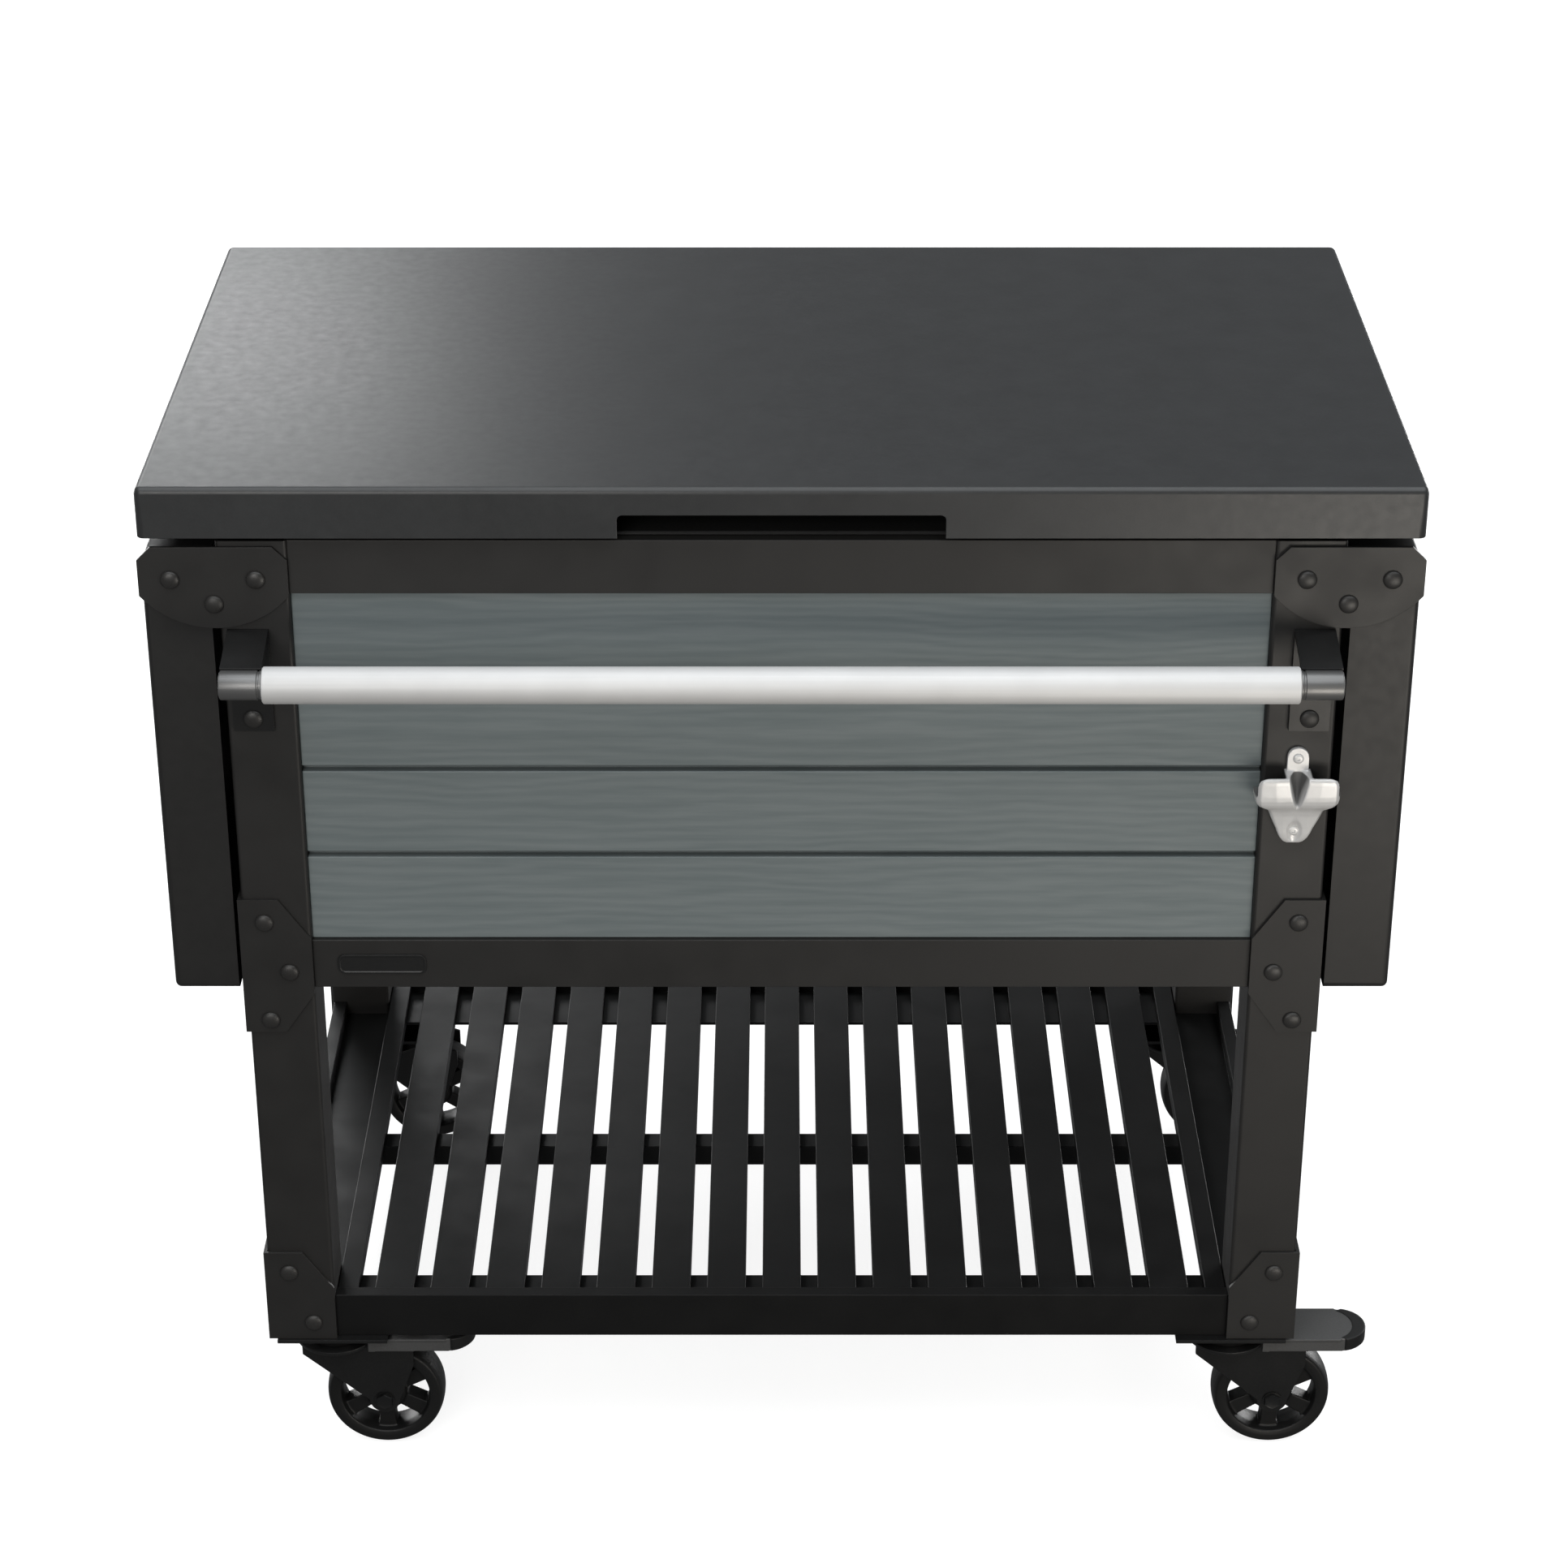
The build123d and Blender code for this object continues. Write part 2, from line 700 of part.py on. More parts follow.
def bar_arm():
    """The right bar bracket: a base on the leg and an arm that saddles the ferrule from behind."""
    back = leg_front
    face = back - arm_sheet
    crest = bar_z + ferrule_diameter / 2
    slope = (arm_top - crest) / (face - bar_y)
    tip = bar_y + arm_tip
    tip_top = crest + slope * arm_tip
    heel = bar_y + ferrule_diameter / 2 + arm_sheet
    heel_top = crest + slope * (heel - bar_y) - arm_sheet
    side = Polyline(
        (back, arm_bottom), (back, arm_top), (face, arm_top), (tip, tip_top), (tip, bar_z), (heel, bar_z),
        (heel, heel_top), (face, arm_top - arm_sheet), (face, arm_bottom), close=True,
    )
    arm = plate_yz(side, arm_inner, arm_outer)
    arm = fillet(arm.edges().filter_by(Axis.X).sort_by_distance((arm_x, face, arm_top))[0], arm_bend_radius)
    arm -= rod_x(ferrule_diameter / 2 + bolt_fit, arm_inner, arm_outer, bar_y, bar_z)
    for x, z in arm_screws():
        arm -= rod_y(bolt_radius + bolt_fit, face, back, x, z)
    return arm


def push_bar_fittings():
    """Ferrules, brackets and screws of the bar."""
    end = ferrule()
    save("bar_ferrules", end, flip_x(end))
    arm = bar_arm()
    save("bar_brackets", arm, flip_x(arm))
    group = []
    for x, z in arm_screws():
        screw = bolt(x, z, leg_front - arm_sheet, arm_sheet + leg_wall)
        group += [screw, flip_x(screw)]
    save("bar_bracket_screws", *group)


def opener():
    """The cast bottle opener: a screw tab, two wings over a V-shaped mouth, and a tapered foot."""
    z_top = opener_top
    z_wing = z_top - opener_wing_top
    z_neck = z_top - opener_wing_bottom
    z_foot = z_top - opener_height
    tab = opener_tab_width / 2
    wing = opener_width / 2
    neck = opener_neck_width / 2
    foot = opener_foot_width / 2
    front = leg_front - opener_reach
    x = opener_x
    outline = Polyline(
        (x - foot, z_foot), (x + foot, z_foot), (x + neck, z_neck), (x + tab, z_wing), (x + tab, z_top),
        (x - tab, z_top), (x - tab, z_wing), (x - neck, z_neck), close=True,
    )
    body = plate_xz(outline, leg_front - opener_plate, leg_front)
    hood = block(x - wing, x + wing, front, leg_front, z_neck, z_wing)
    hood = fillet(hood.edges().filter_by(Axis.Y), opener_wing_radius)
    lip = leg_front - opener_plate
    slope = Polyline((leg_front, z_neck), (front, z_neck), (lip, z_foot), (leg_front, z_foot), close=True)
    chin = plate_yz(slope, x - neck, x + neck) & plate_xz(outline, front, leg_front)
    half = opener_mouth_width / 2
    z_mouth = z_wing - opener_mouth_depth
    mouth_outline = Polyline((x - half, z_wing), (x + half, z_wing), (x, z_mouth), close=True)
    mouth = plate_xz(mouth_outline, front, leg_front - opener_plate)
    shape = body + hood + chin - mouth
    for sx, sz in opener_screws():
        shape -= rod_y(opener_screw_radius + bolt_fit, front, leg_front, sx, sz)
        shape -= rod_y(opener_screw_head + bolt_fit, front, leg_front - opener_plate, sx, sz)
    save("bottle_opener", shape)
    group = []
    for sx, sz in opener_screws():
        seat = leg_front - opener_plate
        screw = rod_y(opener_screw_head, seat - opener_screw_height, seat, sx, sz)
        group.append(screw + rod_y(opener_screw_radius, seat, leg_front + leg_wall + bolt_tail, sx, sz))
    save("opener_screws", *group)


def badge():
    """A bare plate on the rail below the planks."""
    x = -leg_inner + badge_inset + badge_width / 2
    plane = Plane((x, rail_front, mid_gusset_z), x_dir=(1, 0, 0), z_dir=(0, -1, 0))
    face = plane * RectangleRounded(badge_width, badge_height, badge_corner_radius)
    save("badge_plate", extrude(face, badge_thickness))


def shelf_frame():
    """The rails round the shelf, each with a ledge on its inner side."""
    z0 = leg_bottom
    z1 = shelf_top
    ledge_z = slat_bottom - shelf_ledge_sheet
    inner = rail_front + shelf_rail_depth
    rail = tube_x(-leg_inner, leg_inner, rail_front, inner, z0, z1, shelf_rail_wall)
    ledge = block(-leg_inner, leg_inner, inner, inner + shelf_ledge, ledge_z, slat_bottom)
    save("shelf_front_rail", rail + ledge)
    side_inner = rail_side - shelf_rail_depth
    reach = side_inner - shelf_side_ledge
    ledge = block(-reach, reach, inner, inner + shelf_rear_ledge, ledge_z, slat_bottom)
    save("shelf_rear_rail", flip_y(rail + ledge))
    side = tube_y(side_inner, rail_side, leg_back, -leg_back, z0, z1, shelf_rail_wall)
    side += block(reach, side_inner, leg_back, -leg_back, ledge_z, slat_bottom)
    save("shelf_side_rails", side, flip_x(side))
    front = cross_bar_shift - cross_bar_depth / 2
    back = cross_bar_shift + cross_bar_depth / 2
    bar = tube_x(-reach, reach, front, back, slat_bottom - cross_bar_height, slat_bottom, cross_bar_wall)
    save("shelf_cross_bar", bar)


def slat(x0, x1):
    """One slat: a channel folded down along both long edges."""
    y0 = rail_front + shelf_rail_depth + slat_end_gap
    channel = block(x0, x1, y0, -y0, slat_bottom, slat_top)
    return channel - block(x0 + slat_sheet, x1 - slat_sheet, y0, -y0, slat_bottom, slat_top - slat_sheet)


def slats():
    """As many full slats as fit between the legs, and a narrow one along each edge."""
    edge = leg_inner - slat_edge_gap
    half = slat_width / 2
    count = int((edge - half) // slat_pitch)
    group = [slat(i * slat_pitch - half, i * slat_pitch + half) for i in range(-count, count + 1)]
    start = (count + 1) * slat_pitch - half
    if edge - start > slat_least_width:
        outer = slat(start, edge)
        group += [outer, flip_x(outer)]
    save("shelf_slats", *group)


def caster_plate(x, y):
    """A mounting plate with the fixed race and the riveted kingpin."""
    half_x = caster_plate_length / 2
    half_y = caster_plate_width / 2
    plate = block(x - half_x, x + half_x, y - half_y, y + half_y, plate_bottom, leg_bottom)
    plate += rod_z(race_radius, crown_top + race_gap, plate_bottom, x, y)
    head_top = crown_bottom - race_gap
    plate += rod_z(kingpin_radius, head_top, crown_top + race_gap, x, y)
    return plate + rod_z(kingpin_head_radius, head_top - kingpin_head_height, head_top, x, y)


def fork(x, y, braked):
    """A swivel fork: a round crown and two cheeks that hood the wheel and reach back to the axle."""
    axle_x = x + caster_trail
    waist = crown_bottom - fork_waist_drop
    ear = x + pedal_pivot_reach + fork_ear
    hood = ear + fork_hood
    hood_top = crown_top - fork_hood_drop
    lead = x - math.sqrt(crown_radius**2 - cheek_outer**2)
    shape = rod_z(crown_radius, crown_bottom, crown_top, x, y)
    boss = fork_boss_radius
    outline = Polyline(
        (lead, crown_top), (ear, crown_top), (hood, hood_top), (hood, hood_top - fork_hood_depth),
        (axle_x + boss, wheel_radius), (axle_x - boss, wheel_radius), (lead, waist), close=True,
    )
    for y0, y1 in ((y - cheek_outer, y - cheek_inner), (y + cheek_inner, y + cheek_outer)):
        cheek = plate_xz(outline, y0, y1) + rod_y(boss, y0, y1, axle_x, wheel_radius)
        cheek -= rod_y(axle_radius + bolt_fit, y0, y1, axle_x, wheel_radius)
        if braked:
            cheek -= rod_y(pedal_pin_radius + running_fit, y0, y1, x + pedal_pivot_reach, pedal_pin_z)
        shape += cheek
    return shape - rod_z(kingpin_radius + running_fit, crown_bottom, crown_top, x, y)


def axle(x, y):
    """An axle bolt with its head and its nut."""
    shaft = rod_y(axle_radius, y - cheek_outer, y + cheek_outer, x, wheel_radius)
    end = cheek_outer + axle_head_height
    shaft += rod_y(axle_head_radius, y - end, y - cheek_outer, x, wheel_radius)
    return shaft + rod_y(axle_head_radius, y + cheek_outer, y + end, x, wheel_radius)


def wheel(x, y):
    """A spoked wheel: a tread ring, a hub and spokes, one of them straight down."""
    half = wheel_width / 2
    z = wheel_radius
    ring = rod_y(wheel_radius, y - half, y + half, x, z)
    ring = fillet(ring.edges(), wheel_edge_radius)
    rim = wheel_radius - tread_depth
    ring -= rod_y(rim, y - half, y + half, x, z)
    hub_half = cheek_inner - hub_side_gap
    shape = ring + rod_y(hub_radius, y - hub_half, y + hub_half, x, z)
    spoke_end = rim + tread_depth / 2
    for i in range(spoke_count):
        middle = Pos(x, y, z) * Rot(0, i * 360 / spoke_count, 0)
        shape += middle * Pos(0, 0, -spoke_end / 2) * Box(spoke_width, spoke_thickness, spoke_end)
    return shape - rod_y(axle_radius + running_fit, y - hub_half, y + hub_half, x, z)


def pedal(x, y):
    """A brake pedal: a pressed channel with a round end, its cross pin and the shoe above the tread."""
    top = plate_bottom - pedal_plate_gap
    bottom = top - pedal_depth
    inner = cheek_outer + pedal_side_gap
    outer = inner + pedal_sheet
    start = x + race_radius + pedal_start_gap
    turn = x + pedal_reach - outer
    shell = block(start, turn, y - outer, y + outer, bottom, top) + rod_z(outer, bottom, top, turn, y)
    ceiling = top - pedal_sheet
    shell -= block(start, turn, y - inner, y + inner, bottom, ceiling)
    shell -= rod_z(inner, bottom, ceiling, turn, y)
    pivot = x + pedal_pivot_reach
    shell += rod_y(pedal_pin_radius, y - outer, y + outer, pivot, pedal_pin_z)
    shoe_x = pivot + shoe_start
    half = shoe_width / 2
    return shell + block(shoe_x, shoe_x + shoe_length, y - half, y + half, wheel_diameter + shoe_rise, top)


def casters():
    """A caster under each corner, all trailing to the right, the front ones with brakes."""
    plates = []
    for row, y in (("front", -caster_y), ("rear", caster_y)):
        for side, x in (("left", -caster_x), ("right", caster_x)):
            name = row + "_" + side
            plates.append(caster_plate(x, y))
            save(name + "_fork", fork(x, y, row == "front"))
            save(name + "_axle", axle(x + caster_trail, y))
            save(name + "_wheel", wheel(x + caster_trail, y))
            if row == "front":
                save(name + "_brake_pedal", pedal(x, y))
    save("caster_plates", *plates)


def main():
    os.makedirs("parts", exist_ok=True)
    legs()
    box_rails()
    box_walls()
    tub()
    drain()
    lid()
    hinges()
    leaves()
    gussets()
    push_bar()
    push_bar_fittings()
    opener()
    badge()
    shelf_frame()
    slats()
    casters()


main()
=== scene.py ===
import bmesh
import bpy
import json
import math
from mathutils import Matrix, Vector


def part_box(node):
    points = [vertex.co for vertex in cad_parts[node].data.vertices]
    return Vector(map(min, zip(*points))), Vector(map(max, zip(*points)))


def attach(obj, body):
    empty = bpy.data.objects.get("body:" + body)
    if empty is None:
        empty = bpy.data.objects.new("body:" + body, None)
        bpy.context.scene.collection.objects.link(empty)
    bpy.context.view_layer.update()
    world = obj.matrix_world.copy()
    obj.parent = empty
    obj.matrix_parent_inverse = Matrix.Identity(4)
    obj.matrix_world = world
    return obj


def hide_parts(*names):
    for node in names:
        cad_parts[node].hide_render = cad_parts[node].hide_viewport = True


# Looks of the patio cooler cart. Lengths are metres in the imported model's frame:
# X runs to the right, Y to the back and Z up from the floor.

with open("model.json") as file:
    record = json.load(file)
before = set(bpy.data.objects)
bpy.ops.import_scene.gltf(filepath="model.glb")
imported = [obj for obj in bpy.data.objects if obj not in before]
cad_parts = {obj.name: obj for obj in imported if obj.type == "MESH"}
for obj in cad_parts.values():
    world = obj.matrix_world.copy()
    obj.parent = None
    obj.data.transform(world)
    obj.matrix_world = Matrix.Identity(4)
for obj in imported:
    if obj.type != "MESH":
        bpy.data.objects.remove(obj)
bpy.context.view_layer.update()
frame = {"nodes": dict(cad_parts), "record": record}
nodes = frame["nodes"]
mm = 0.001
quarter_turn = math.pi / 2
corners = ("front_left", "front_right", "rear_left", "rear_right")


# Shader building blocks

def new_material(name):
    """A fresh material: itself, its tree, its shader and the coordinates of the piece it is on."""
    material = bpy.data.materials.new(name)
    material.use_nodes = True
    tree = material.node_tree
    place = tree.nodes.new("ShaderNodeTexCoord").outputs["Object"]
    return material, tree, tree.nodes["Principled BSDF"], place


def feed(tree, socket, value):
    """Links a socket to another node's output, or sets it to a plain value."""
    if isinstance(value, bpy.types.NodeSocket):
        tree.links.new(value, socket)
    else:
        socket.default_value = value


def stretched(tree, place, scale):
    """Coordinates scaled along X, Y and Z."""
    node = tree.nodes.new("ShaderNodeMapping")
    node.inputs["Scale"].default_value = scale
    tree.links.new(place, node.inputs["Vector"])
    return node.outputs["Vector"]


def axes(tree, place):
    """The X, Y and Z parts of coordinates."""
    node = tree.nodes.new("ShaderNodeSeparateXYZ")
    tree.links.new(place, node.inputs["Vector"])
    return node.outputs


def noise(tree, place, scale, detail):
    """A noise pattern from 0 to 1."""
    node = tree.nodes.new("ShaderNodeTexNoise")
    node.inputs["Scale"].default_value = scale
    node.inputs["Detail"].default_value = detail
    tree.links.new(place, node.inputs["Vector"])
    return node.outputs["Fac"]


def sums(tree, kind, a, b, c=0.0):
    """A math node."""
    node = tree.nodes.new("ShaderNodeMath")
    node.operation = kind
    for socket, value in zip(node.inputs, (a, b, c)):
        feed(tree, socket, value)
    return node.outputs["Value"]


def span(tree, value, low, high, first, last):
    """Maps the stretch from low to high onto first to last."""
    node = tree.nodes.new("ShaderNodeMapRange")
    for name, number in (("From Min", low), ("From Max", high), ("To Min", first), ("To Max", last)):
        node.inputs[name].default_value = number
    tree.links.new(value, node.inputs["Value"])
    return node.outputs["Result"]


def mix(tree, factor, first, last):
    """A colour between two others."""
    node = tree.nodes.new("ShaderNodeMix")
    node.data_type = "RGBA"
    feed(tree, node.inputs["Factor"], factor)
    colours = [socket for socket in node.inputs if socket.type == "RGBA"]
    for socket, colour in zip(colours, (first, last)):
        feed(tree, socket, colour)
    return [socket for socket in node.outputs if socket.type == "RGBA"][0]


def bump(tree, shader, height, strength, distance):
    """Relief from a height pattern."""
    node = tree.nodes.new("ShaderNodeBump")
    node.inputs["Strength"].default_value = strength
    node.inputs["Distance"].default_value = distance
    tree.links.new(height, node.inputs["Height"])
    tree.links.new(node.outputs["Normal"], shader.inputs["Normal"])


def grey(level, warm=0.0):
    """A nearly neutral colour, warmer above zero and cooler below."""
    return (level * (1 + warm), level, level * (1 - warm), 1.0)


# Materials. A finish has a dark and a light colour, and gloss is the middle of its roughness.

# The stretch that most of a noise pattern lies in
noise_low, noise_high = 0.3, 0.7

# The opener's mouth starts this far below its top. The hollows behind its lips start level with the mouth,
# lip_near from the middle, and end lip_back from the back.
mouth_drop, mouth_length = 20 * mm, 27 * mm
mouth_half_top, mouth_half_end = 8 * mm, 1 * mm
lip_near, lip_back, hollow_length = 11 * mm, 16.6 * mm, 16 * mm


def powder_coat(name, dark, light, gloss, shine, cloud_size=9.0, smear_size=26.0, smear=0.06):
    """Baked paint on sheet steel: cloudy colour, fine specks, orange peel and uneven gloss."""
    material, tree, shader, place = new_material(name)
    shader.inputs["Specular IOR Level"].default_value = shine
    speck_share, cloud_share = 0.45, 0.55
    cloud = noise(tree, place, scale=cloud_size, detail=5)
    speck = noise(tree, place, scale=700, detail=2)
    peel = noise(tree, place, scale=1300, detail=2)
    streak = noise(tree, place, scale=smear_size, detail=4)
    blotch = sums(tree, "MULTIPLY_ADD", speck, speck_share, sums(tree, "MULTIPLY", cloud, cloud_share))
    tone = span(tree, blotch, 0.35, 0.65, 0, 1)
    tree.links.new(mix(tree, tone, dark, light), shader.inputs["Base Color"])
    rough = span(tree, streak, noise_low, noise_high, gloss - smear, gloss + smear)
    tree.links.new(rough, shader.inputs["Roughness"])
    bump(tree, shader, peel, strength=0.10, distance=0.2 * mm)
    return material


def wood_plank(name, dark, light, board_bottom, board_pitch):
    """Boards with a faint cathedral grain and fine pores, each board with its own figure."""
    material, tree, shader, place = new_material(name)
    shader.inputs["Specular IOR Level"].default_value = 0.35
    # How far a board's figure is shifted along and up from that of the board below
    shift_along, shift_up = 0.83, 0.041
    ring_share, pore_share, drift_share = 0.20, 0.34, 0.46
    x, y, z = axes(tree, place)
    row = sums(tree, "FLOOR", sums(tree, "DIVIDE", sums(tree, "SUBTRACT", z, board_bottom), board_pitch), 0)
    joined = tree.nodes.new("ShaderNodeCombineXYZ")
    feed(tree, joined.inputs["X"], sums(tree, "MULTIPLY_ADD", row, shift_along, x))
    feed(tree, joined.inputs["Y"], y)
    feed(tree, joined.inputs["Z"], sums(tree, "MULTIPLY_ADD", row, shift_up, z))
    board = joined.outputs["Vector"]
    rings = tree.nodes.new("ShaderNodeTexWave")
    rings.wave_type = "BANDS"
    rings.bands_direction = "Z"
    for socket, number in (("Scale", 34), ("Distortion", 15), ("Detail", 3), ("Detail Scale", 0.55)):
        rings.inputs[socket].default_value = number
    tree.links.new(stretched(tree, board, (0.20, 0.3, 1)), rings.inputs["Vector"])
    pores = noise(tree, stretched(tree, board, (26, 60, 420)), scale=1, detail=4)
    drift = noise(tree, stretched(tree, board, (7, 12, 48)), scale=1, detail=5)
    figure = sums(tree, "MULTIPLY", pores, pore_share)
    figure = sums(tree, "MULTIPLY_ADD", rings.outputs["Fac"], ring_share, figure)
    figure = sums(tree, "MULTIPLY_ADD", drift, drift_share, figure)
    tone = span(tree, figure, 0.32, 0.68, 0, 1)
    tree.links.new(mix(tree, tone, dark, light), shader.inputs["Base Color"])
    tree.links.new(span(tree, pores, noise_low, noise_high, 0.66, 0.54), shader.inputs["Roughness"])
    bump(tree, shader, figure, strength=0.22, distance=0.4 * mm)
    return material


def brushed_metal(name, dark, light, gloss, along, metal=1.0):
    """Metal with fine brush lines along one axis; metal below 1 is a satin coat."""
    material, tree, shader, place = new_material(name)
    shader.inputs["Metallic"].default_value = metal
    line_along, line_across = 4.0, 900.0
    scale = tuple(line_along if axis == along else line_across for axis in "XYZ")
    lines = noise(tree, stretched(tree, place, scale), scale=1, detail=3)
    haze = noise(tree, place, scale=30, detail=3)
    tree.links.new(mix(tree, haze, dark, light), shader.inputs["Base Color"])
    rough = span(tree, lines, noise_low, noise_high, gloss - 0.06, gloss + 0.08)
    tree.links.new(rough, shader.inputs["Roughness"])
    bump(tree, shader, lines, strength=0.05, distance=0.1 * mm)
    return material


def cast_metal(name, dark, light, gloss, mouth_x, mouth_top, back_y):
    """Plated casting: bright, slightly wavy and faintly pitted, with painted shade that darkens its mouth and
    the hollows behind its lips, which are also rougher.
    """
    material, tree, shader, place = new_material(name)
    shader.inputs["Metallic"].default_value = 0.3
    x, y, z = axes(tree, place)
    mouth_end = mouth_top - mouth_length
    hollow_end = mouth_top - hollow_length
    aside = sums(tree, "ABSOLUTE", sums(tree, "SUBTRACT", x, mouth_x), 0)
    # The mouth's mask, which fades out at its sides and both ends; painted shade darkens the mouth through it
    edge = span(tree, z, mouth_end, mouth_top, mouth_half_end, mouth_half_top)
    inside = span(tree, sums(tree, "SUBTRACT", aside, edge), -1.4 * mm, 0.2 * mm, 1, 0)
    below = span(tree, z, mouth_top - 1.0 * mm, mouth_top, 1, 0)
    above = span(tree, z, mouth_end - 0.5 * mm, mouth_end + 2.5 * mm, 0, 1)
    mouth = sums(tree, "MULTIPLY", sums(tree, "MULTIPLY", inside, below), above)
    # The mask of the hollows behind the lips, which painted shade turns nearly black
    deep = sums(tree, "SUBTRACT", back_y, y)
    behind = span(tree, deep, lip_back - 0.2 * mm, lip_back + 0.4 * mm, 1, 0)
    beyond = span(tree, aside, lip_near - 1.6 * mm, lip_near - 0.2 * mm, 0, 1)
    higher = span(tree, z, hollow_end - 2 * mm, hollow_end + 0.5 * mm, 0, 1)
    hollow = sums(tree, "MULTIPLY", sums(tree, "MULTIPLY", behind, beyond), higher)
    # Where shade is painted, and where the metal is also rougher
    painted_shade_mask = sums(tree, "MAXIMUM", mouth, hollow)
    wave = noise(tree, place, scale=120, detail=3)
    pits = noise(tree, place, scale=1500, detail=2)
    # Painted shade: dark grey in the mouth and near black in the hollows, standing in for the shadow in them
    painted_mouth_shade, painted_hollow_shade = grey(0.11), grey(0.012)
    plated = mix(tree, wave, dark, light)
    shade = mix(tree, hollow, mix(tree, mouth, plated, painted_mouth_shade), painted_hollow_shade)
    tree.links.new(shade, shader.inputs["Base Color"])
    polish = span(tree, pits, noise_low, noise_high, gloss - 0.05, gloss + 0.1)
    tree.links.new(sums(tree, "MULTIPLY_ADD", painted_shade_mask, 0.2, polish), shader.inputs["Roughness"])
    relief = sums(tree, "MULTIPLY_ADD", pits, 0.3, wave)
    bump(tree, shader, relief, strength=0.12, distance=0.3 * mm)
    return material


def plastic(name, dark, light, gloss, shine=0.4, grain=900.0, relief=0.08):
    """Moulded plastic or rubber with a fine grain."""
    material, tree, shader, place = new_material(name)
    shader.inputs["Specular IOR Level"].default_value = shine
    fine = noise(tree, place, scale=grain, detail=2)
    cloud = noise(tree, place, scale=14, detail=4)
    tree.links.new(mix(tree, cloud, dark, light), shader.inputs["Base Color"])
    rough = span(tree, fine, noise_low, noise_high, gloss - 0.06, gloss + 0.06)
    tree.links.new(rough, shader.inputs["Roughness"])
    bump(tree, shader, fine, strength=relief, distance=0.15 * mm)
    return material


def all_materials():
    """One finished material for each slot of the record, and one for the leaves: a less glossy copy of the
    lid's paint, darker as painted shade.
    """
    plank_rows = 4
    plank_low, plank_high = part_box("front_planks")
    opener_low, opener_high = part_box("bottle_opener")
    opener_x = (opener_low.x + opener_high.x) / 2
    mouth_top = opener_high.z - mouth_drop
    return {
        "frame_paint": powder_coat("bronze_paint", grey(0.0092, 0.05), grey(0.0116, 0.05), 0.50, 0.40),
        "top_paint": powder_coat("top_paint", grey(0.0200, -0.04), grey(0.0248, -0.04), 0.40, 0.42,
                                 cloud_size=30.0, smear_size=110.0, smear=0.03),
        # The leaves' copy of the lid's paint: less glossy, and about half as bright as painted shade
        "leaf": powder_coat("leaf_paint", grey(0.0090, 0.03), grey(0.0110, 0.03), 0.48, 0.38,
                            cloud_size=24.0, smear_size=110.0, smear=0.03),
        "panel_paint": powder_coat("panel_paint", grey(0.0155, 0.05), grey(0.0195, 0.05), 0.50, 0.30),
        "plank": wood_plank("grey_wood", (0.106, 0.127, 0.131, 1), (0.134, 0.155, 0.159, 1), plank_low.z,
                            (plank_high.z - plank_low.z) / plank_rows),
        "shelf_paint": powder_coat("black_shelf_paint", grey(0.0035), grey(0.0055), 0.46, 0.18),
        "bracket_paint": powder_coat("black_bracket_paint", grey(0.006), grey(0.010), 0.34, 0.35),
        "bolt_finish": powder_coat("bolt_paint", grey(0.012, 0.05), grey(0.019, 0.05), 0.44, 0.40),
        "bar_metal": brushed_metal("satin_bar", grey(0.53), grey(0.60), 0.62, "X", 0.35),
        "ferrule_metal": brushed_metal("dark_chrome", grey(0.125), grey(0.16), 0.40, "X", 0.7),
        "opener_metal": cast_metal("cast_opener", grey(0.52), grey(0.62), 0.36, opener_x, mouth_top,
                                   opener_high.y),
        "hinge_steel": brushed_metal("zinc_steel", grey(0.26), grey(0.34), 0.38, "X"),
        "caster_paint": powder_coat("caster_paint", grey(0.005), grey(0.009), 0.36, 0.30),
        "axle_steel": brushed_metal("black_steel", grey(0.035), grey(0.055), 0.38, "Y"),
        "wheel_plastic": plastic("black_wheel", grey(0.004), grey(0.007), 0.46, 0.25),
        "pedal_steel": powder_coat("grey_pedal", grey(0.038), grey(0.054), 0.44, 0.40),
        "tub_plastic": plastic("charcoal_liner", grey(0.012), grey(0.017), 0.42, grain=600.0, relief=0.05),
        "foam": plastic("cream_foam", grey(0.60, 0.15), grey(0.74, 0.15), 0.85, 0.3, grain=500.0, relief=0.4),
        "gasket_rubber": plastic("black_rubber", grey(0.006), grey(0.010), 0.62, 0.3),
        "drain_plastic": plastic("drain_plastic", grey(0.030), grey(0.042), 0.48),
        "badge_plastic": plastic("badge_plastic", grey(0.006), grey(0.009), 0.36),
    }


def dress_nodes(finishes):
    """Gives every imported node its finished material."""
    for part in frame["record"]["subparts"]:
        # The leaves take the darker copy of the lid's paint; its darkness is painted shade
        look = "leaf" if part["node"].endswith("_leaf") else part["material_slot"]
        mesh = nodes[part["node"]].data
        mesh.materials.clear()
        mesh.materials.append(finishes[look])


# Mesh building blocks

def loft(bm, rings, loop=False):
    """Joins rings of points into a closed solid: capped at both ends, or joined round in a loop."""
    rows = [[bm.verts.new(point) for point in ring] for ring in rings]
    pairs = list(zip(rows, rows[1:]))
    if loop:
        pairs.append((rows[-1], rows[0]))
    else:
        bm.faces.new(list(reversed(rows[0])))
        bm.faces.new(rows[-1])
    count = len(rows[0])
    for low, high in pairs:
        for k in range(count):
            n = (k + 1) % count
            bm.faces.new((low[k], low[n], high[n], high[k]))


